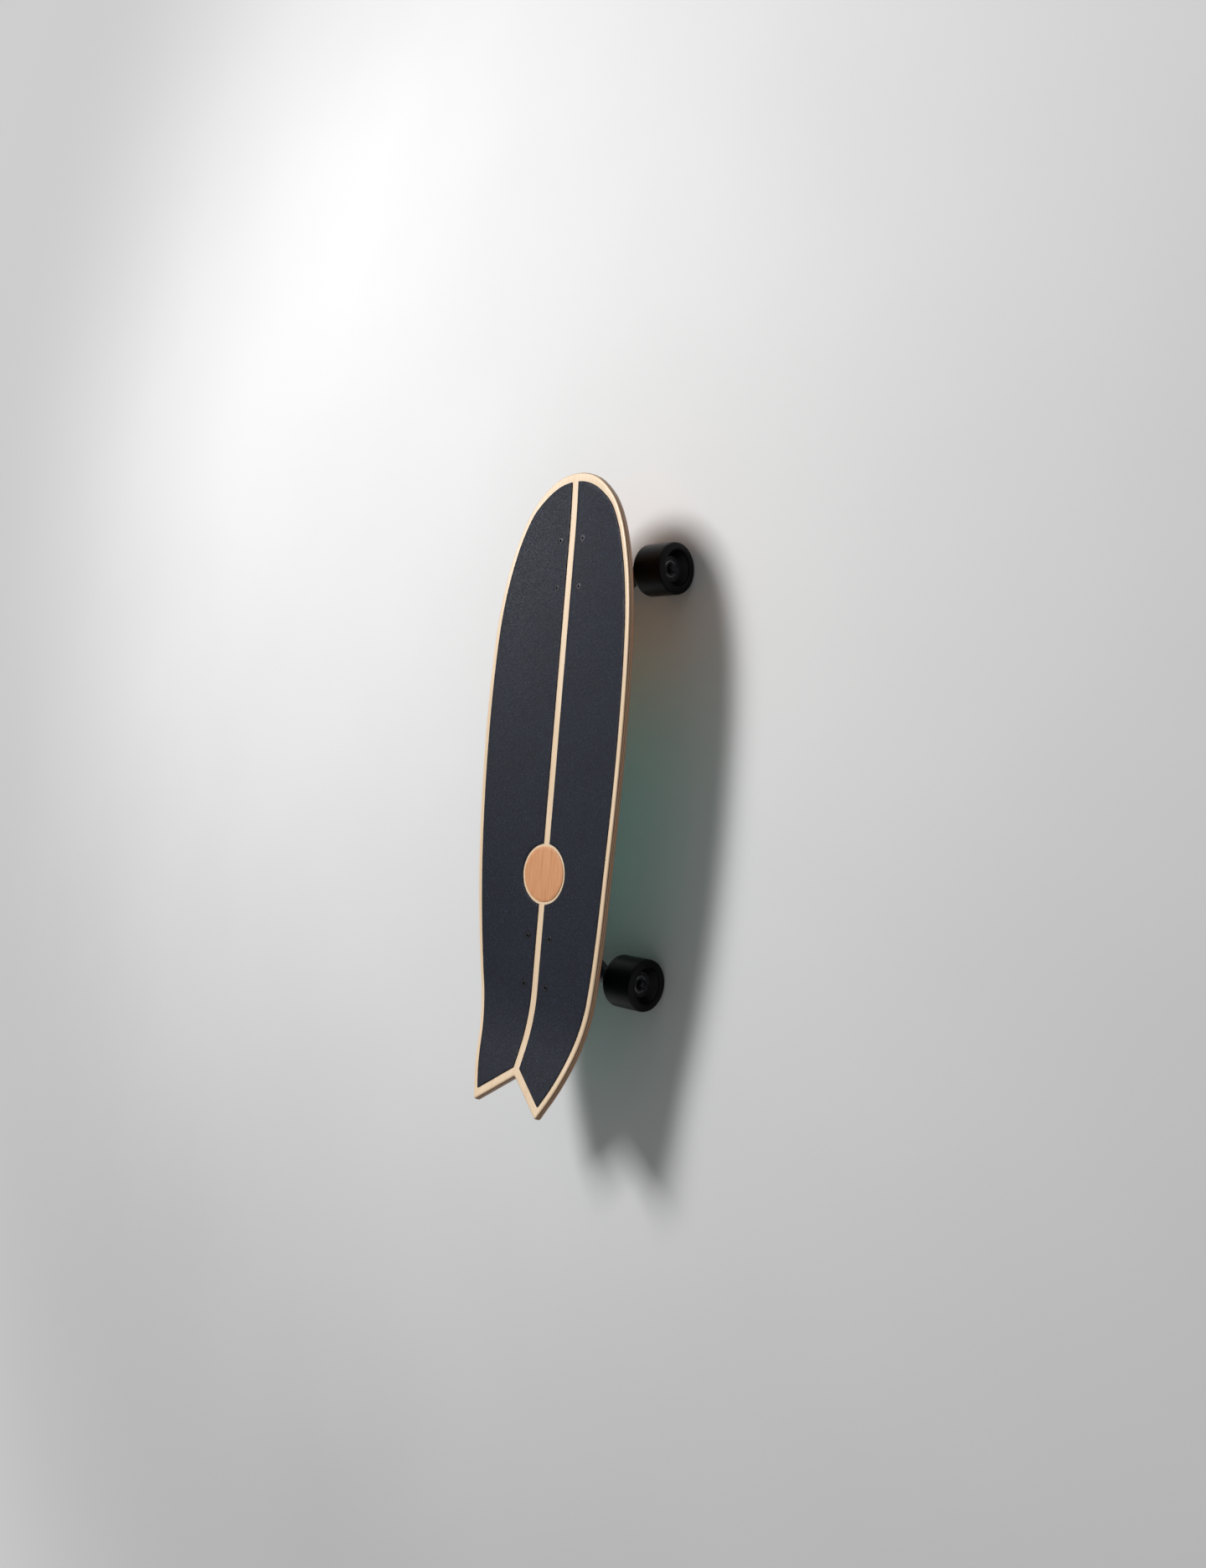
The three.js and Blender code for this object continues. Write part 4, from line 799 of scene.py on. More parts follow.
boltPlaces = {
    name: [(middle + end * bolts["patternLength"] / 2, side * bolts["patternWidth"] / 2)
           for end in (1, -1) for side in (1, -1)]
    for name, middle in (("front", bolts["rearMiddle"] + bolts["wheelbase"]),
                         ("rear", bolts["rearMiddle"]))
}
allBolts = boltPlaces["front"] + boltPlaces["rear"]
boltWell = bolts["headRadius"] + bolts["seat"]


def makeDeck():
    values = deck
    radius, thickness, steps = values["edgeRadius"], values["thickness"], values["edgeSteps"]
    edge = []
    for k in range(steps + 1):
        turn = k / steps * math.pi / 2
        edge.append((radius * (1 - math.sin(turn)), -radius * (1 - math.cos(turn))))
    edge += [(inset, -thickness - lift) for inset, lift in reversed(edge)]
    layers = [(inset, lift, max(bolts["hole"], boltWell + lift * bolts["sinkSlope"]))
              for inset, lift in edge]
    makeSheet("deck_board", deckOutline(), allBolts, layers, values["mesh"],
              deckMaterial(deckLook, thickness), "deck")


def gripOutline(side):  # one panel, anticlockwise, its corners rounded
    values = grip
    edge = values["stripe"] / 2

    def crossing(quantity):
        low, high = 0.0, 1.0
        for _ in range(40):
            middle = (low + high) / 2
            low, high = (middle, high) if quantity(middle) < 0 else (low, middle)
        return (low + high) / 2

    def inner(u):  # the bare border widens at the nose
        run = min(1, max(0, 1 + (rail(u)[0] - deck["length"]) / values["noseRun"]))
        wider = values["noseBorder"] - values["border"]
        return railPoint(u, values["border"] + wider * eased(run))

    first = crossing(lambda u: fromNotch(inner(u)) - values["tailBorder"])
    last = crossing(lambda u: edge - inner(u)[1])
    rails = [inner(u) for u in np.linspace(first, last, values["railSteps"])]
    notchX = deck["notchDepth"] + (values["tailBorder"] * notchSlant - edge * notchRun) / tipHalf
    radius, middle, steps = values["opening"] / 2, values["inlayFromTail"], values["arcSteps"]
    reach = math.asin(edge / radius)
    arc = [(middle - radius * math.cos(a), radius * math.sin(a))
           for a in np.linspace(reach, math.pi - reach, steps)]
    line = [np.array([notchX, edge]), *map(np.array, arc), rails[-1], *reversed(rails[:-1])]
    tail, nose = values["tailCorner"], values["noseCorner"]
    radii = [tail] + [0.0] * steps + [nose] + [0.0] * (len(rails) - 2) + [tail]
    line = rounded(line, radii, steps=5)
    if side < 0:
        line = [p * (1, -1) for p in line]
    area = sum(a[0] * b[1] - b[0] * a[1] for a, b in zip(line, line[1:] + line[:1]))
    return denser(line if area > 0 else line[::-1], values["mesh"])


def thinLayers(thickness, edge, bore=0):  # a thin sheet's softened top edge, its side and its back
    inset, depth = edge
    top = grip["seat"] + thickness
    return [(inset, top, bore), (0.0, top - depth, bore), (0.0, grip["seat"], bore)]


def makeGrip(side, node):
    wells = [p for p in allBolts if p[1] * side > 0]
    layers = thinLayers(grip["thickness"], grip["edge"], boltWell)
    makeSheet(node + "_panel", gripOutline(side), wells, layers, grip["mesh"], gripSkin,
              node)


def makeInlay():
    loop = [(grip["inlayFromTail"] + x, y) for x, y in circle(grip["inlay"] / 2, 96)]
    layers = thinLayers(grip["inlayThickness"], grip["inlayEdge"])
    makeSheet("inlay_disc", loop, [], layers, grip["mesh"], inlayMaterial(inlayLook),
              "round_inlay")


gripSkin = gripMaterial(gripLook)
makeDeck()
makeGrip(1, "griptape_left")
makeGrip(-1, "griptape_right")
makeInlay()
print("deck, griptape and inlay made")

# Screws and nuts

thread = {"depth": 0.35, "pitch": 0.9, "rowsPerPitch": 6, "segments": 28, "leadIn": 0.14}


def threadedRod(radius, low, high, pitch=thread["pitch"]):  # with a lead-in at its low end
    rows = max(4, round((high - low) / pitch * thread["rowsPerPitch"]))
    points, count, leadIn = [(0, 0, low)], thread["segments"], thread["leadIn"]
    for z in np.linspace(low, high, rows + 1):
        lead = min(1, (z - low) / pitch * 0.5 + 0.5)
        for k in range(count):
            phase = (z / pitch - k / count) % 1
            r = radius - thread["depth"] * abs(2 * phase - 1)
            r *= 1 - leadIn + leadIn * lead
            angle = 2 * math.pi * k / count
            points.append((r * math.cos(angle), r * math.sin(angle), z))
    points.append((0, 0, high))
    top, last = len(points) - 1, 1 + rows * count
    faces = bands([1 + i * count for i in range(rows + 1)], count)
    faces += [(0, 1 + (k + 1) % count, 1 + k) for k in range(count)]
    faces += [(last + k, last + (k + 1) % count, top) for k in range(count)]
    return np.array(points, float), faces


# A hexagon with chamfered corners: at each height the outline is the smaller of hexagon and cone
def hexPrism(across, bore, low, high, chamferLow=0.12, chamferHigh=0.12):
    half, tall, segments, edge = across / 2, high - low, 72, 0.4
    rows = [(0.0, chamferLow), (0.06, chamferLow / 2), (0.14, 0.0), (0.86, 0.0),
            (0.94, chamferHigh / 2), (1.0, chamferHigh)]
    points, rings = [], []

    def ring(z, radiusAt):
        rings.append(len(points))
        for k in range(segments):
            angle = 2 * math.pi * k / segments
            r = radiusAt(angle)
            points.append((r * math.cos(angle), r * math.sin(angle), z))

    for share, cut in rows:
        limit = half / math.cos(math.pi / 6) * (1 - cut)
        ring(low + tall * share, lambda a: min(limit, half / math.cos(
            (a + math.pi / 6) % (math.pi / 3) - math.pi / 6)))
    if bore:
        for z, wider in ((high, edge), (high - edge, 0), (low + edge, 0), (low, edge)):
            ring(z, lambda a: bore + wider)
        return np.array(points, float), bands(rings + rings[:1], segments)
    faces = [tuple(reversed(range(segments))), tuple(range(rings[-1], rings[-1] + segments))]
    return np.array(points, float), faces + bands(rings, segments)


plate = {"length": 94, "width": 58, "thickness": 6.5, "corner": 9, "margin": 1, "hole": 2.8,
         "edge": 0.5}
plateHoles = [(end * bolts["patternLength"] / 2, side * bolts["patternWidth"] / 2, 0)
              for end in (1, -1) for side in (1, -1)]
deckBolt = {
    "radius": 2.4, "headRadius": 4.6, "headDepth": 2.4, "headEdge": 0.35, "draft": 0.15,
    "proud": 0.2, "socket": 3.0, "socketDepth": 1.7, "nutAcross": 8, "nutHeight": 4.6, "end": 2,
    "looseTurn": 60,
}


def makeBoltSet(name):
    truck, values = trucks[name], deckBolt
    surface = deckPoints(np.array(boltPlaces[name], float), 0)
    top = grip["thickness"] + grip["seat"] + values["proud"]
    under, wide = top - values["headDepth"], values["headRadius"]
    surfaceHeight = deck["topHeight"] + surface[:, 2].mean()
    nutTop = truck["mount"] - plate["thickness"] - fit - surfaceHeight
    nutLow = nutTop - values["nutHeight"]
    head = rounded([(0, under), (values["radius"], under), (wide, top - values["headEdge"]),
                    (wide - values["draft"], top), (0, top)], [0, 0, 0.2, 0.2, 0], closed=False)
    model = makeObject("boltHead", lathe(head, 48))
    cutAway(model, prism(circle(values["socket"] / math.sqrt(3), 6), top - values["socketDepth"],
                         top + 1))
    shank = makeObject("boltShank",
                       threadedRod(values["radius"], nutLow - values["end"], under + 0.2),
                       hexPrism(values["nutAcross"], 0, nutLow, nutTop, 0.12, 0.05))
    bpy.ops.object.select_all(action="DESELECT")
    for part in (model, shank):
        part.select_set(True)
    bpy.context.view_layer.objects.active = model
    bpy.ops.object.join()
    spots = [(x - middleX, y, z + deck["topHeight"]) for x, y, z in surface]
    piece = copyOnPoints(name + "_deck_bolts", model, spots, [(0, 0, 0)] * 4,
                         materials["blackOxideSteel"], math.radians(values["looseTurn"]))
    bpy.data.objects.remove(model)
    nodes = [f"{name}_deck_bolt_{k}" for k in (1, 2, 3, 4)]
    finish(piece, None, "board", nodes)


for name in trucks:
    makeBoltSet(name)
print("deck bolts made")

# Riser pads


def plateOutline(length, width, corner):
    x, y = length / 2 - corner, width / 2 - corner
    line = []
    for k, (cx, cy) in enumerate([(x, y), (-x, y), (-x, -y), (x, -y)]):
        for a in np.linspace(k * math.pi / 2, (k + 1) * math.pi / 2, 10):
            line.append((cx + corner * math.cos(a), cy + corner * math.sin(a)))
    return line


def holeCuts(place, low, high):  # the four bolt holes of a plate at a place
    return [moved(prism(circle(plate["hole"], 32), low, high), place @ Matrix.Translation(spot))
            for spot in plateHoles]


def makeRiser(name):
    truck, margin = trucks[name], plate["margin"]
    outline = plateOutline(plate["length"] + 2 * margin, plate["width"] + 2 * margin,
                           plate["corner"] + margin)
    place = Matrix.Translation((truck["x"], 0, truck["mount"] + fit))
    piece = makeObject(name + "_riser_pad", moved(prism(outline, 0, truck["riser"]), place))
    cutAway(piece, *holeCuts(place, -2, 20))
    bevel = piece.modifiers.new("edge", "BEVEL")
    bevel.width = plate["edge"] * mm
    bevel.segments = 2
    settle(piece)
    finish(piece, materials["mouldedRubber"], "board", [name + "_riser"])


for name in trucks:
    makeRiser(name)
print("riser pads made")

# Trucks. A truck's own frame starts at the middle of its mounting face, with +X outboard

steer = {
    "angle": 38, "kingpinLean": 8, "ringFromAxle": 24, "ringOverAxle": 2, "pivotReach": 52,
    "boardBushing": 13, "roadBushing": 10, "cupWasher": 1.6, "ringHalf": 4.5, "seat": 0.3,
}


def leaning(degrees):  # the direction that leans outboard from straight up
    return Vector((math.sin(math.radians(degrees)), 0, math.cos(math.radians(degrees))))


steerAngle = math.radians(steer["angle"])
steerAxis = Vector((math.cos(steerAngle), 0, math.sin(steerAngle)))
steerNormal = Vector((-steerAxis.z, 0, steerAxis.x))
kingpinAxis = leaning(steer["kingpinLean"])
kingpinAcross = Vector((kingpinAxis.z, 0, -kingpinAxis.x))
boardStack, roadStack = (steer["ringHalf"] + steer[key] + steer["cupWasher"] + 3 * steer["seat"]
                         for key in ("boardBushing", "roadBushing"))


def ringCentre(name):
    truck = trucks[name]
    return Vector((truck["offset"] - steer["ringFromAxle"], 0,
                   steer["ringOverAxle"] - truck["height"]))


def onKingpin(name, shape):
    return moved(shape, along(truckFrame(trucks[name]), ringCentre(name), kingpinAxis))


def onSteering(name, shape):
    return moved(shape, along(truckFrame(trucks[name]), ringCentre(name), steerAxis))


def inTruck(name, shape):
    return moved(shape, truckFrame(trucks[name]))


def sideView(points):
    return [(p.x, p.z) for p in points]


def uprightWeb(outline, width):  # a plate along the middle, from an outline seen from the side
    points, faces = prism(outline, -width / 2, width / 2)
    return points[:, [0, 2, 1]] * (1, -1, 1), faces


# The web's corners are a share of the pivot's reach, and a rise from that line in pivot radii
hanger = {
    "tube": 9, "flareInner": 12, "flareOuter": 58, "reach": 21, "waist": 1.6, "dip": 3,
    "ring": 16.6, "ringHole": 7.6, "holeCut": 9, "clearance": 15.4, "clearAbove": 14,
    "pivot": 5.4, "pivotLength": 22, "pivotTip": 2.7, "bearing": 12.6, "axle": 3.95,
    "segments": 56, "sections": 90, "webWidth": 13,
    "web": ((0.26, -2.4), (0.45, -0.9), (0.62, 0.3), (0.74, 0.3), (0.74, -0.3), (0.48, -3.2)),
}


def makeHanger(name):
    values, truck, ring = hanger, trucks[name], ringCentre(name)
    axle = Vector((truck["offset"], 0, -truck["height"]))
    reachHalf = truck["track"] - values["bearing"]
    segments, sections = values["segments"], values["sections"]
    points = []
    for share in np.linspace(-1, 1, sections):
        y = share * reachHalf
        run = (abs(y) - values["flareInner"]) / (values["flareOuter"] - values["flareInner"])
        flare = 1 - eased(min(1, max(0, run)))
        inboard = values["tube"] + values["reach"] * flare
        outboard = values["tube"] - values["waist"] * flare
        high = values["tube"] - values["dip"] * flare
        for k in range(segments):
            angle = 2 * math.pi * k / segments
            x = (outboard + inboard) / 2 * math.cos(angle) + (outboard - inboard) / 2
            points.append((axle.x + x, y, axle.z + high * math.sin(angle)))
    last = (sections - 1) * segments
    faces = bands([i * segments for i in range(sections)], segments)
    faces += [tuple(range(segments)), tuple(range(last, last + segments))]
    arms = inTruck(name, (np.array(points, float), faces))
    half, reach, pivot = steer["ringHalf"], steer["pivotReach"], values["pivot"]
    eye = onKingpin(name, cylinder(values["ring"], -half, half))
    stubLow = reach - values["pivotLength"]
    stub = onSteering(name, lathe([(0, stubLow), (pivot, stubLow),
                                   (pivot, reach - values["pivotTip"]), (pivot / 2, reach),
                                   (0, reach)], 64))
    corners = [ring + steerAxis * share * reach + steerNormal * rise * pivot
               for share, rise in values["web"]]
    web = inTruck(name, uprightWeb(sideView(corners), values["webWidth"]))
    clear, top = values["clearance"], boardStack + values["clearAbove"]
    bushingSeat = [(0, half), (clear - 1, half), (clear, half + 1), (clear, top), (0, top)]
    cuts = [
        onKingpin(name, lathe(bushingSeat)),
        onKingpin(name, lathe([(r, -z) for r, z in bushingSeat])),
        onKingpin(name, cylinder(values["ringHole"], -values["holeCut"], values["holeCut"])),
        moved(cylinder(values["axle"] + fit, -reachHalf - 3, reachHalf + 3, 48),
              along(truckFrame(truck), axle, (0, 1, 0))),
    ]
    castPiece(name + "_hanger_casting", [arms, eye, stub, web], cuts, name + "_steering",
              name + "_hanger")


for name in trucks:
    makeHanger(name)
print("hangers made")

carrier = {
    "seatBoss": 14, "webWidth": 25, "webSetback": 5, "bevel": 2.5, "cup": 9, "cupLength": 12,
    "cupFloor": 2, "cupCut": 6, "wall": 3.4, "bossEnd": 3.4, "shank": 5.1, "recess": 8.6,
    "headFrom": 32.7, "kingpinAbove": 38, "frontAccess": 13, "rearAccess": 64, "trim": 90,
}


# The web, kingpin seat and pivot boss, and the cuts in them, for both carriers
def carrierForms(name, topCorners, bossHeight, access):
    values, ring, bevel = carrier, ringCentre(name), carrier["bevel"]
    seatPoint = ring + kingpinAxis * (boardStack + bevel)
    mouth = steer["pivotReach"] - values["cupLength"] + values["cupFloor"]
    end = steer["pivotReach"] + values["cupFloor"] + values["bossEnd"]
    bossRadius = values["cup"] + values["wall"]
    inner = seatPoint - kingpinAcross * values["seatBoss"]
    outer = seatPoint + kingpinAcross * values["seatBoss"]
    mouthTop = ring + steerAxis * mouth + steerNormal * bossRadius
    mouthLow = ring + steerAxis * mouth - steerNormal * bossRadius
    endLow = ring + steerAxis * end - steerNormal * bossRadius
    outline = sideView([inner, outer]) + [(outer.x, mouthTop.z)]
    outline += sideView([mouthTop, mouthLow, endLow]) + topCorners
    web = inTruck(name, uprightWeb(outline, values["webWidth"]))
    boss, bossTop = values["seatBoss"], boardStack + bossHeight
    seat = onKingpin(name, lathe([(0, boardStack), (boss, boardStack), (boss + bevel, bossTop),
                                  (0, bossTop)]))
    pivot = onSteering(name, lathe([(0, mouth), (bossRadius, mouth), (bossRadius, end - bevel),
                                    (bossRadius - bevel, end), (0, end)]))
    headFrom, far = values["headFrom"], values["kingpinAbove"] + access
    shank = onKingpin(name, lathe([(0, 0), (values["shank"], 0), (values["shank"], headFrom),
                                   (values["recess"], headFrom), (values["recess"], far),
                                   (0, far)]))
    floor = steer["pivotReach"] + values["cupFloor"] + 2 * fit
    socket = onSteering(name, cylinder(values["cup"] + fit, mouth - values["cupCut"], floor))
    return [web, seat, pivot], [shank, socket]


def plateForms(name):  # a base plate, its bolt holes, and everything over its mounting face
    outline = plateOutline(plate["length"], plate["width"], plate["corner"])
    body = inTruck(name, prism(outline, -plate["thickness"], 0))
    far = carrier["trim"]
    above = inTruck(name, prism([(-far, -far), (far, -far), (far, far), (-far, far)], 0, far))
    return body, holeCuts(truckFrame(trucks[name]), -20, 2), above


def makeBaseplate():
    ring = ringCentre("rear")
    inPlate = -plate["thickness"] / 2
    corners = [(plate["length"] / 2 - carrier["webSetback"], inPlate),
               (ring.x - carrier["seatBoss"], inPlate)]
    bossHeight = trucks["rear"]["height"] - boardStack - plate["thickness"]
    forms, cuts = carrierForms("rear", corners, bossHeight, carrier["rearAccess"])
    body, holes, above = plateForms("rear")
    castPiece("rear_baseplate_casting", [body, *forms], [above, *cuts, *holes], "board",
              "rear_baseplate")


makeBaseplate()
print("rear baseplate made")

swivel = {
    "lean": 8, "forward": 8, "drop": 18.25, "boss": 12, "draft": 2.5, "pin": 6, "pinDepth": 15,
    "nutAcross": 19, "nutHeight": 7, "nutRecess": 12, "nutDrop": 1.2, "table": 25, "gap": 17,
    "tableThickness": 6, "tableTop": 4, "race": 2.4, "raceRadius": 11.6, "raceSeat": 14,
    "raceDepth": 1.5, "raceSplit": (0.7, 0.35), "armBoss": 18, "wire": 4.4, "wireSides": 20,
    "coil": 19, "turns": 2.25, "stepsPerTurn": 48, "leg": 15, "legStep": 2.0, "socket": 5,
    "lugDepth": 8, "lugWidth": 9.6, "lugCover": 2.2, "lugInside": 3.2, "cut": 5, "cutTop": 40,
}
swivelAxis = leaning(swivel["lean"])
swivelCentre = Vector((swivel["forward"], 0, -swivel["drop"]))
swivelFrame = along(truckFrame(trucks["front"]), swivelCentre, swivelAxis)
face = swivel["gap"] / 2
coilHalf = face - fit - swivel["wire"] / 2


def onCircle(angle, tangent, height):
    radius = swivel["coil"]
    return Vector((radius * math.cos(angle) - tangent * math.sin(angle),
                   radius * math.sin(angle) + tangent * math.cos(angle), height))


bottomAngle = math.pi / 2 - swivel["turns"] * 2 * math.pi
legs = {"top": (math.pi / 2, swivel["leg"], coilHalf),
        "bottom": (bottomAngle, -swivel["leg"], -coilHalf)}


def onSwivel(shape):
    return moved(shape, swivelFrame)


def springLug(angle, reach, height, base):
    values = swivel
    cover = values["lugCover"] + values["wire"] / 2
    low, high = (height - cover, base) if base > height else (base, height + cover)
    outline = plateOutline(values["lugDepth"], values["lugWidth"], values["lugDepth"] / 4)
    middle = onCircle(angle, reach + math.copysign(values["lugDepth"] / 2, reach), 0)
    turn = Matrix.Translation(middle) @ Matrix.Rotation(angle + math.pi / 2, 4, "Z")
    return onSwivel(moved(prism(outline, low, high), turn))


def springHole(angle, reach, height):
    side = math.copysign(1, reach)
    start = onCircle(angle, reach - side * 3, height)
    end = onCircle(angle, reach + side * (swivel["socket"] + fit), height)
    rod = cylinder(swivel["wire"] / 2 + fit, 0, (end - start).length, 32)
    return moved(rod, along(swivelFrame, start, (end - start).normalized()))


def makeFrontBase():
    values, top = swivel, swivel["drop"] + swivel["tableTop"]
    depth, past = values["raceDepth"], values["cut"]
    table = onSwivel(lathe([(0, depth), (values["boss"], depth),
                            (values["boss"] + values["draft"], face), (values["table"], face),
                            (values["table"], top), (0, top)]))
    body, holes, above = plateForms("front")
    lug = springLug(*legs["top"], face + values["lugInside"])
    nutFrom = values["drop"] - values["nutDrop"] - values["nutHeight"] - 2 * fit
    bore = lathe([(0, -past), (values["pin"] + fit, -past), (values["pin"] + fit, nutFrom),
                  (values["nutRecess"], nutFrom), (values["nutRecess"], values["cutTop"]),
                  (0, values["cutTop"])])
    raceSeat = cylinder(values["raceSeat"], -past, depth)
    cuts = [above, onSwivel(raceSeat), onSwivel(bore), springHole(*legs["top"]), *holes]
    castPiece("front_base_casting", [body, table, lug], cuts, "board", "front_base")


def makeSwingArm():
    values, depth, draft = swivel, swivel["raceDepth"], swivel["draft"]
    under = -face - values["tableThickness"]
    table = onSwivel(lathe([(0, under), (values["table"] - draft, under),
                            (values["table"], under + draft), (values["table"], -face),
                            (values["boss"] + draft, -face), (values["boss"], -depth),
                            (0, -depth)]))
    inTable = -face - values["tableThickness"] / 2
    local = along(Matrix.Identity(4), swivelCentre, swivelAxis)
    reach = values["table"] - carrier["webSetback"]
    tops = [local @ Vector((side * reach, 0, inTable)) for side in (1, -1)]
    bossTop = ringCentre("front") + kingpinAxis * (boardStack + values["armBoss"] - draft)
    corners = sideView([*tops, bossTop - kingpinAcross * carrier["recess"]])
    forms, cuts = carrierForms("front", corners, values["armBoss"], carrier["frontAccess"])
    lug = springLug(*legs["bottom"], inTable)
    pin = cylinder(values["pin"] + fit, -values["pinDepth"] - fit, 3)
    raceSeat = cylinder(values["raceSeat"], -depth, values["cut"])
    cuts = [onSwivel(raceSeat), *cuts, onSwivel(pin), springHole(*legs["bottom"])]
    castPiece("swing_arm_casting", [table, lug, *forms], cuts, "front_arm", "swing_arm")


def makeSpring():
    values = swivel
    turns, leg, step = values["turns"], values["leg"] + values["socket"], values["legStep"]
    path = [onCircle(bottomAngle, -leg + k * step, -coilHalf) for k in range(round(leg / step))]
    steps = round(turns * values["stepsPerTurn"])
    for k in range(steps + 1):
        share = k / steps
        path.append(onCircle(bottomAngle + share * turns * 2 * math.pi, 0,
                             coilHalf * (2 * share - 1)))
    path += [onCircle(math.pi / 2, k * step, coilHalf) for k in range(1, round(leg / step) + 1)]
    mesh = bpy.data.meshes.new("springPath")
    edges = [(k, k + 1) for k in range(len(path) - 1)]
    mesh.from_pydata([swivelFrame @ p * mm for p in path], edges, [])
    piece = bpy.data.objects.new("return_spring_coil", mesh)
    scene.collection.objects.link(piece)
    runTree(piece, wire, {"Radius": values["wire"] / 2 * mm, "Sides": values["wireSides"],
                          "Finish": materials["oiledSpringWire"]})
    finish(piece, None, None, ["return_spring"])
    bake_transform(piece)


def makeSwivelSmallParts():
    values = swivel
    radius, length, middle = values["pin"], values["pinDepth"], -values["drop"] / 2
    top = values["drop"] - 2 * values["nutDrop"]
    pin = joined([threadedRod(radius - 0.05, -top, middle, 1.5),
                  lathe([(0, middle - 0.5), (radius, middle), (radius, length - 1),
                         (radius - 1, length), (0, length)], 64)])
    flip = Matrix.Rotation(math.pi, 4, "X")
    addPiece("swivel_pin_rod", onSwivel(moved(pin, flip)), "blackOxideSteel", "front_arm",
             "swivel_pin")
    high = values["drop"] - values["nutDrop"] - values["nutHeight"] / 3
    low = values["drop"] - values["nutDrop"] - values["nutHeight"]
    nut = hexPrism(values["nutAcross"], radius + 0.2, low, high)
    addPiece("swivel_lock_nut", onSwivel(nut), "zincPlatedSteel", "front_arm",
             "swivel_nut")
    half, bore, rim = values["race"] / 2, radius + fit, values["raceRadius"]
    cage, split = rim - values["raceSplit"][0], values["raceSplit"][1]  # between its two rings
    profile = rounded([(bore, -half), (rim, -half), (rim, -split), (cage, -split), (cage, split),
                       (rim, split), (rim, half), (bore, half)], 0.2, 3)
    addPiece("swivel_race", onSwivel(lathe(profile)), "groundBearingSteel", "board",
             "swivel_thrust_bearing")


makeFrontBase()
makeSwingArm()
makeSpring()
makeSwivelSmallParts()
print("front base, swing arm and spring made")

stack = {
    "pin": 4.8, "above": 38, "head": 5, "headAcross": 14, "end": 2, "thread": 16,
    "threadPitch": 1.25, "nutAcross": 14, "nutHeight": 6.5, "nutBore": 5.05, "collar": 1.6,
    "collarRadii": (6.2, 6.0), "bushing": 12.6, "bore": 5.2, "play": 1.7, "roadEnd": 9.8,
    "waist": 0.9, "rim": 1.5, "washer": 13.6, "sheet": 1.0,
}


def bushing(low, high, lowRadius, highRadius):
    steps = 16
    side = []
    for k in range(steps + 1):
        share = k / steps
        bulge = stack["waist"] * math.sin(math.pi * share)
        side.append((lowRadius + (highRadius - lowRadius) * share - bulge,
                     low + (high - low) * share))
    side[0:1] = [(lowRadius - 0.6, low), (lowRadius - 0.1, low + 0.4)]
    side[-1:] = [(highRadius - 0.1, high - 0.4), (highRadius - 0.6, high)]
    # The bore widens towards the hanger's ring, so that the bent bushing clears the kingpin
    wide, part = stack["bore"] + stack["play"], 0.3 * (high - low)
    if low > 0:
        return lathe([(wide, low), *side, (stack["bore"], high), (wide, high - part)])
    return lathe([(stack["bore"], low), *side, (wide, high), (wide, low + part)])


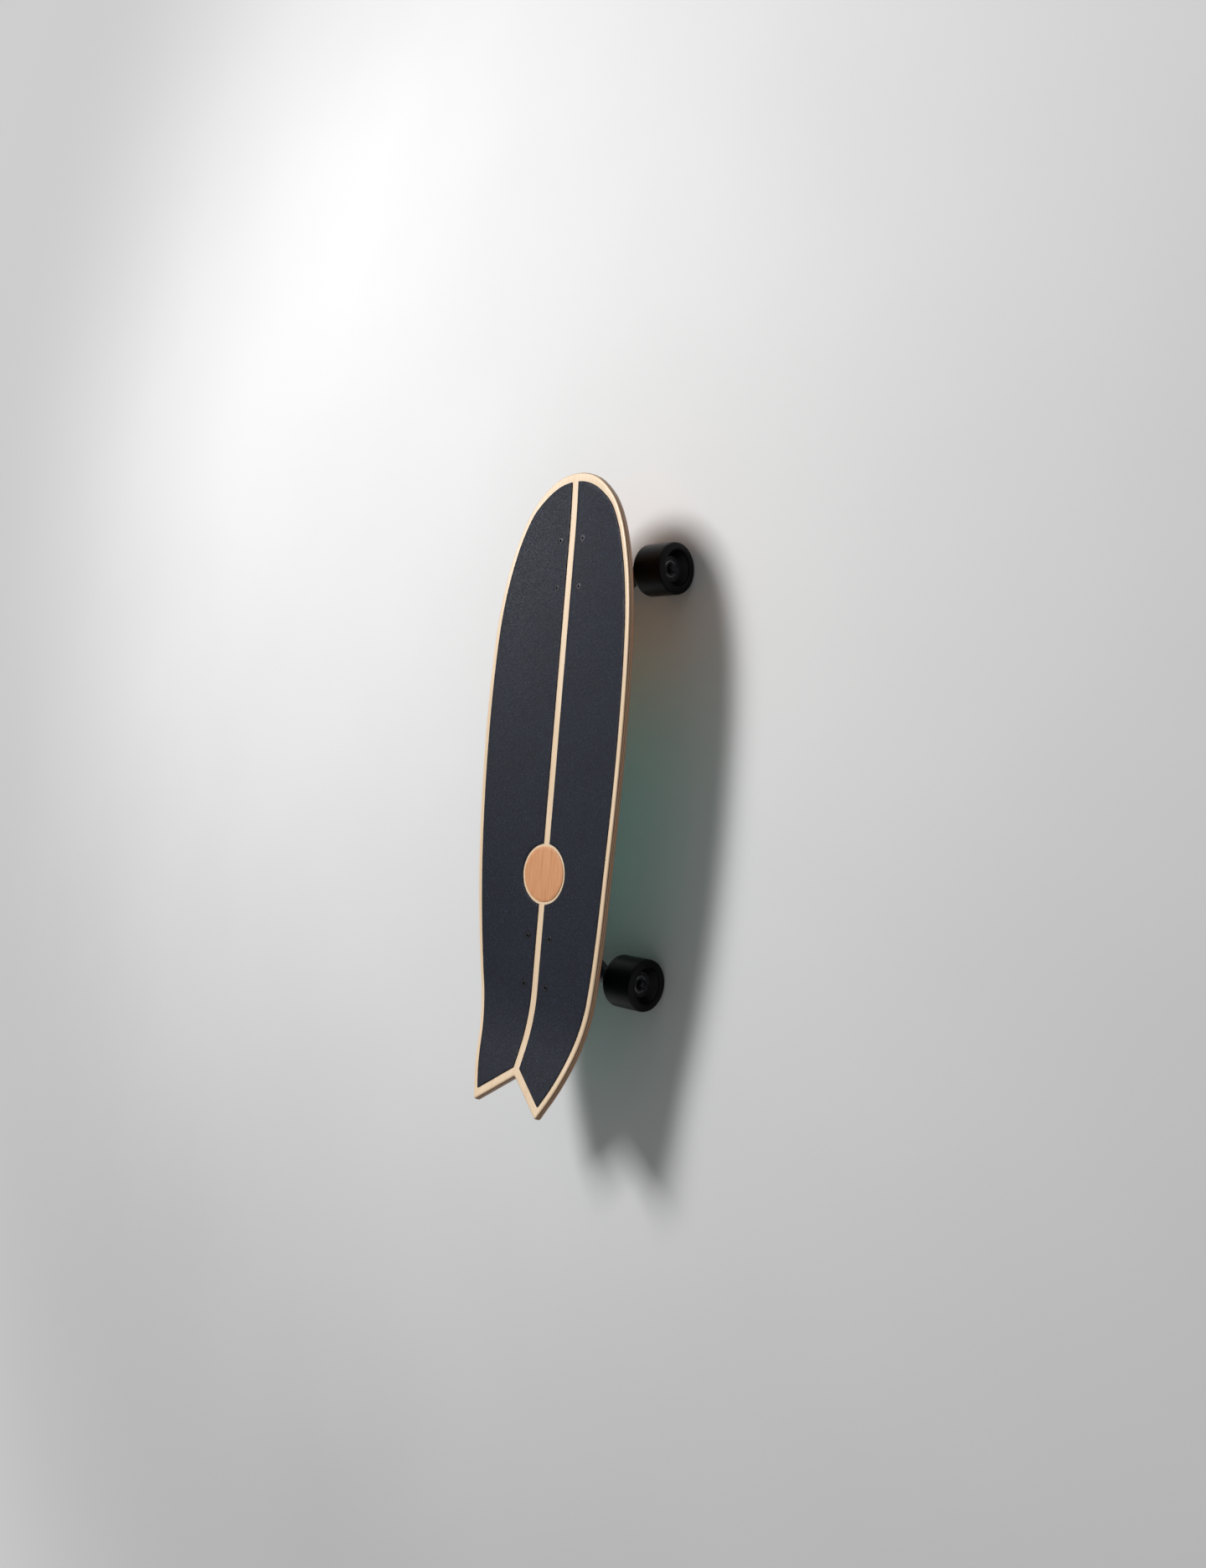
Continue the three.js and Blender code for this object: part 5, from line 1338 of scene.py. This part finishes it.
def makeStack(name, body):
    values, half, seat = stack, steer["ringHalf"], steer["seat"]
    pin, above, bore = values["pin"], values["above"], values["nutBore"]
    low = -roadStack - values["nutHeight"] - values["end"]
    threadEnd = low + values["thread"]
    bolt = joined([
        threadedRod(pin - 0.02, low, threadEnd + 0.2, values["threadPitch"]),
        lathe([(0, threadEnd + 0.5), (pin, threadEnd), (pin, above - 3), (0, above - 3)], 64),
        hexPrism(values["headAcross"], 0, above - values["head"], above, 0.04, 0.14)])
    addPiece(name + "_kingpin_bolt", onKingpin(name, bolt), "blackOxideSteel", body,
             name + "_kingpin")
    top, foot = -roadStack, -roadStack - values["nutHeight"]
    neck, (wide, narrow) = foot + values["collar"], values["collarRadii"]
    collar = rounded([(bore, neck), (wide, neck), (narrow, foot), (bore, foot)], 0.4, 4)
    nut = joined([hexPrism(values["nutAcross"], bore, neck, top, 0.02, 0.12), lathe(collar, 64)])
    addPiece(name + "_kingpin_lock_nut", onKingpin(name, nut), "zincPlatedSteel", body,
             name + "_kingpin_nut")
    near, boardFar = half + seat, half + seat + steer["boardBushing"]
    roadFar = -half - seat - steer["roadBushing"]
    boardSide = bushing(near, boardFar, values["bushing"], values["bushing"])
    roadSide = bushing(roadFar, -half - seat, values["roadEnd"], values["bushing"])
    # A bushing sits between its washer, which stays, and the hanger's ring, which turns. The ends
    # worked out here are not used
    for side, shape, label, reach in ((1, boardSide, "board_side", steer["boardBushing"]),
                                      (-1, roadSide, "road_side", steer["roadBushing"])):
        piece = addPiece(f"{name}_{label}_bushing_ring", onKingpin(name, shape),
                         "castUrethaneBushing", None, f"{name}_bushing_{label}")
        ends = np.array([(0, 0, side * (half + seat + share * reach)) for share in (0.95, 0.05)])
        washerEnd, ringEnd = onKingpin(name, (ends, []))[0] * mm
        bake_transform(piece)
    for side, label, reach in ((1, "board_side", steer["boardBushing"]),
                               (-1, "road_side", steer["roadBushing"])):
        base = side * (half + reach + 2 * seat)
        back, rim = base + side * steer["cupWasher"], base - side * values["rim"]
        inner, outer = pin + fit, values["washer"] + 2 * fit
        wall = outer - values["sheet"]
        profile = rounded([(inner, base), (wall, base), (wall, rim), (outer, rim), (outer, back),
                           (inner, back)], [0.2, 0.6, 0.3, 0.3, 1.2, 0.2], 5)
        addPiece(f"{name}_{label}_cup_washer", onKingpin(name, lathe(profile)),
                 "zincPlatedSteel", body, f"{name}_cup_washer_{label}")
    bore, radius, floor = hanger["pivot"] + fit, carrier["cup"], steer["pivotReach"] + fit
    mouth = steer["pivotReach"] - carrier["cupLength"] + carrier["cupFloor"] + fit
    back = floor + carrier["cupFloor"] - fit
    cup = rounded([(0, floor), (bore, floor), (bore, mouth), (radius, mouth), (radius, back),
                   (0, back)], [0, 0.6, 0.5, 0.5, 0.8, 0], 4, closed=False)
    addPiece(name + "_pivot_cup_liner", onSteering(name, lathe(cup, 64)), "mouldedRubber", body,
             name + "_pivot_cup")


makeStack("front", "front_arm")
makeStack("rear", "board")
print("kingpins and bushings made")

# Axles and wheels

wheel = {
    "radius": 34.5, "width": 52, "tread": 44, "lip": 25, "core": 16.4, "coreWidth": 26,
    "shoulder": 5, "shoulderRadius": 8.6, "bearing": 11, "bearingWidth": 7, "bore": 4.25,
    "outerRace": 1.5, "innerRace": 1.6, "sealSink": 0.5, "nutAcross": 12.7, "nutHeight": 6,
    "nutBore": 4.2, "crown": 1.3, "axle": 3.95, "axleEnd": 1.2, "threadEnd": 12, "seat": 0.3,
}
nutStart = wheel["shoulder"] + wheel["bearingWidth"] + 2 * wheel["seat"]  # past the wheel's centre


def makeAxle(name):
    truck, radius = trucks[name], wheel["axle"]
    axle = Vector((truck["offset"], 0, -truck["height"]))
    end = truck["track"] + nutStart + wheel["nutHeight"] + wheel["axleEnd"]
    plain = end - wheel["threadEnd"]
    rod = lathe([(0, -plain - 0.4), (radius, -plain), (radius, plain), (0, plain + 0.4)], 48)
    tip = threadedRod(radius, -end, -plain, 1.0)
    shape = joined([rod, tip, moved(tip, Matrix.Rotation(math.pi, 4, "X"))])
    addPiece(name + "_axle_rod", moved(shape, along(truckFrame(truck), axle, (0, 1, 0))),
             "blackOxideSteel", name + "_steering", name + "_axle")


def tyreShape():
    values = wheel
    half, tread, lip = values["width"] / 2, values["tread"] / 2, values["lip"]
    radius, core = values["radius"], values["coreWidth"] / 2
    # From the core out: the recess, its rim, the rounded lip, the face and the tread's edge
    side = [(values["core"] + fit, core), (values["core"] + 1.5, core + 0.6), (lip - 1.3, half - 3),
            (lip - 0.9, half - 0.9), (lip + 0.7, half), (lip + 2.6, half - 0.1),
            (radius - 1, tread + 2.5), (radius, tread - 0.5)]
    rounding = [0.3, 1.2, 1.5, 1.1, 0.9, 2.5, 2.5, 3.0]
    line = side + [(r, -y) for r, y in reversed(side)]
    return lathe(rounded(line, rounding + rounding[::-1], 6), 128)


def unrolledUv(mesh, radius):  # metres round the tread, and metres from the middle of its face
    layer = mesh.uv_layers.new(name="roundAndAcross")
    points = np.array([v.co for v in mesh.vertices])
    values = np.zeros((len(mesh.loops), 2))
    for polygon in mesh.polygons:
        corner = points[list(polygon.vertices)]
        angles = np.arctan2(corner[:, 2], corner[:, 0])
        angles = np.where(angles < angles[0] - math.pi, angles + 2 * math.pi, angles)
        angles = np.where(angles > angles[0] + math.pi, angles - 2 * math.pi, angles)
        across = corner[:, 1] - np.hypot(corner[:, 0], corner[:, 2]) * np.sign(corner[:, 1])
        for k, loop in enumerate(polygon.loop_indices):
            values[loop] = (angles[k] * radius * mm, across[k])
    layer.data.foreach_set("uv", values.ravel())


hub = {"ribs": 9, "ribWidth": 1.5, "ring": 2.0, "sink": 2.4, "rim": 1.3, "ribSink": 0.9}


def coreShape():
    values = wheel
    half, bore = values["coreWidth"] / 2 - fit, values["bearing"] + fit
    rim, inner, sink = values["core"], values["bearing"] + hub["ring"], hub["sink"]
    outer = rim - hub["rim"]
    side = [(bore, half), (inner, half), (inner + 0.3, half - sink), (outer - 0.3, half - sink),
            (outer, half - 0.2), (rim, half - 0.2)]
    line = [(values["shoulderRadius"], values["shoulder"]), (bore, values["shoulder"]), *side]
    line += [(r, -y) for r, y in reversed(line)]
    return lathe(rounded(line, 0.3, 3), 96)


def makeRib():  # one rib on each face of a hub
    inner, outer = wheel["bearing"] + hub["ring"] - 0.3, wheel["core"] - 1.1
    high, half = wheel["coreWidth"] / 2 - hub["ribSink"], hub["ribWidth"] / 2
    outline = [(inner, -half), (outer, -half), (outer, half), (inner, half)]
    return makeObject("ribModel", prism(outline, high - hub["sink"], high),
                      prism(outline, -high, hub["sink"] - high))


def makeTyre():  # along +Z, with its unrolled map
    blank = makeObject("tyreBlank", tyreShape())
    blank.data.transform(Matrix.Rotation(-math.pi / 2, 4, "X"))
    unrolledUv(blank.data, wheel["radius"])
    blank.data.transform(Matrix.Rotation(math.pi / 2, 4, "X"))
    scene.collection.objects.unlink(blank)
    return blank


treadSkin, tyreBlank, ribModel = treadMaterial(treadLook), makeTyre(), makeRib()
ribPlaces = [(0, 0, 0)] * hub["ribs"]
ribTurns = [(0, 0, 2 * math.pi * k / hub["ribs"]) for k in range(hub["ribs"])]


def wheelMatrix(name, side):  # the wheel's own frame: +Z outwards along the axle
    truck = trucks[name]
    axle = truckFrame(truck) @ Vector((truck["offset"], 0, -truck["height"]))
    centre = Vector((axle.x, side * truck["track"], axle.z))
    return along(Matrix.Identity(4), centre, (0, side, 0))


def makeWheel(name, label, side):
    values, place = wheel, wheelMatrix(name, side)
    body, title = f"{name}_{label}_wheel", f"{name}_{label}"
    meshMove = Matrix.Scale(mm, 4) @ place @ Matrix.Scale(1 / mm, 4)
    tyre = tyreBlank.copy()
    tyre.data = tyreBlank.data.copy()
    tyre.name = title + "_urethane"
    tyre.data.transform(meshMove)
    scene.collection.objects.link(tyre)
    finish(tyre, treadSkin, body, [title + "_tyre"], 60)
    addPiece(title + "_hub_ring", moved(coreShape(), place), "mouldedNylonHub", body,
             title + "_wheel_core")
    ribs = copyOnPoints(title + "_hub_ribs", ribModel, ribPlaces, ribTurns,
                        materials["mouldedNylonHub"])
    ribs.data.transform(meshMove)
    finish(ribs, None, body, [title + "_wheel_core"])
    low = values["shoulder"] + values["seat"]
    high = low + values["bearingWidth"]
    outerWall, bore = values["bearing"] - values["outerRace"], values["bore"]
    innerWall, rim = bore + values["innerRace"], values["bearing"]
    races = joined([
        lathe(rounded([(outerWall, low), (rim, low), (rim, high), (outerWall, high)], 0.3, 4), 64),
        lathe(rounded([(bore, low), (innerWall, low), (innerWall, high), (bore, high)],
                      0.25, 4), 48)])
    base, front = low + values["sealSink"], high - values["sealSink"]
    seal = lathe(rounded([(bore + 1.7, base), (rim - 1.6, base), (rim - 1.6, front),
                          (rim - 2.6, front + 0.15), (bore + 2.6, front - 0.15),
                          (bore + 1.7, front)], 0.2, 3), 64)
    for end, turn in (("outer", place), ("inner", place @ Matrix.Rotation(math.pi, 4, "X"))):
        bearing = f"{title}_{end}_bearing"
        addPiece(bearing + "_races", moved(races, turn), "groundBearingSteel", body,
                 bearing)
        addPiece(bearing + "_seal", moved(seal, turn), "nitrileSeal", body,
                 bearing)
    # The nut: a hexagon, and the crown that holds its locking ring
    bore, low, high = values["nutBore"], nutStart, nutStart + values["nutHeight"]
    crown = rounded([(bore, high - 1.5), (5.9, high - 1.5), (5.6, high - 0.2), (5.2, high),
                     (4.6, high), (4.6, high - 0.5), (bore, high - 0.5)], 0.2, 3)
    nut = joined([hexPrism(values["nutAcross"], bore, low, high - values["crown"], 0.03, 0.1),
                  lathe(crown, 64)])
    addPiece(title + "_axle_lock_nut", moved(nut, place), "blackOxideSteel",
             name + "_steering", title + "_axle_nut")


for name in trucks:
    makeAxle(name)
    for label, side in (("left", 1), ("right", -1)):
        makeWheel(name, label, side)
bpy.data.objects.remove(ribModel)
print("axles and wheels made")

# Stage and light

stage = {"floor": ("#D8D8D8", "#DCDCDC"), "size": 24000, "patches": 500, "sky": "#E9E9E9",
         "skyLight": 0.24, "skySeen": 0.76, "fadeFrom": 1100, "fadeTo": 3200}


def seenRays(tree):  # 1 for rays from the camera and in reflections
    rays = addNode(tree, "ShaderNodeLightPath").outputs
    return addNode(tree, "ShaderNodeMath", {
        0: rays["Is Camera Ray"], 1: rays["Is Glossy Ray"]}, operation="MAXIMUM")


def makeFloor(values):
    size = values["size"] * mm
    mesh = bpy.data.meshes.new("floor")
    corners = [(x * size, y * size, 0) for x, y in ((-1, -1), (1, -1), (1, 1), (-1, 1))]
    mesh.from_pydata(corners, [], [(0, 1, 2, 3)])
    floor = bpy.data.objects.new("floor", mesh)
    scene.collection.objects.link(floor)
    material, tree = newMaterial("mattWhitePaint", Roughness=0.85)
    shader = tree.nodes["Principled BSDF"]
    place = addNode(tree, "ShaderNodeTexCoord").outputs["Object"]
    noise = addNode(tree, "ShaderNodeTexNoise", {
        "Vector": place, "Scale": perMetre(values["patches"])[0], "Detail": 3.0})
    dark, light = values["floor"]
    colour = addNode(tree, "ShaderNodeValToRGB", {"Fac": noise}, stops=[(0.3, dark), (0.7, light)])
    tree.links.new(colour.outputs["Color"], shader.inputs["Base Color"])
    # Far from the object the floor passes into the backdrop, for the eye and in reflections only
    far = addNode(tree, "ShaderNodeVectorMath", {0: place}, operation="LENGTH")
    fade = addNode(tree, "ShaderNodeMapRange", {
        "Value": far, "From Min": values["fadeFrom"] * mm, "From Max": values["fadeTo"] * mm},
        interpolation_type="SMOOTHSTEP")
    share = addNode(tree, "ShaderNodeMath", {0: seenRays(tree), 1: fade}, operation="MULTIPLY")
    glow = addNode(tree, "ShaderNodeEmission", {
        "Color": toLinear(values["sky"]), "Strength": values["skySeen"]})
    both = addNode(tree, "ShaderNodeMixShader", {0: share, 1: shader, 2: glow})
    tree.links.new(both.outputs["Shader"], tree.nodes["Material Output"].inputs["Surface"])
    mesh.materials.append(material)


def makeBackdrop(values):
    world = bpy.data.worlds.new("studio")
    scene.world = world
    world.use_nodes = True
    tree = world.node_tree
    light = tree.nodes["Background"]
    light.inputs["Color"].default_value = toLinear(values["sky"])
    light.inputs["Strength"].default_value = values["skyLight"]
    seen = addNode(tree, "ShaderNodeBackground", {
        "Color": toLinear(values["sky"]), "Strength": values["skySeen"]})
    mixed = addNode(tree, "ShaderNodeMixShader", {0: seenRays(tree), 1: light, 2: seen})
    tree.links.new(mixed.outputs["Shader"], tree.nodes["World Output"].inputs["Surface"])


lamps = {
    "key": {"place": (1320, 1190, 2500), "aim": (100, -100, 0), "size": 900, "power": 88},
    "fill": {"place": (-1200, -3200, 2600), "aim": (0, 0, 0), "size": 2600, "power": 8},
}


def makeLamps():
    for name, values in lamps.items():
        data = bpy.data.lights.new(name, "AREA")
        data.size = values["size"] * mm
        data.energy = values["power"]
        lamp = bpy.data.objects.new(name, data)
        place, aim = (Vector(values[key]) * mm for key in ("place", "aim"))
        lamp.location = place
        lamp.visible_camera = False
        lamp.rotation_euler = (aim - place).to_track_quat("-Z", "Y").to_euler()
        scene.collection.objects.link(lamp)


makeFloor(stage)
makeBackdrop(stage)
makeLamps()
scene.view_settings.view_transform = "Standard"
print("stage and lamps made")
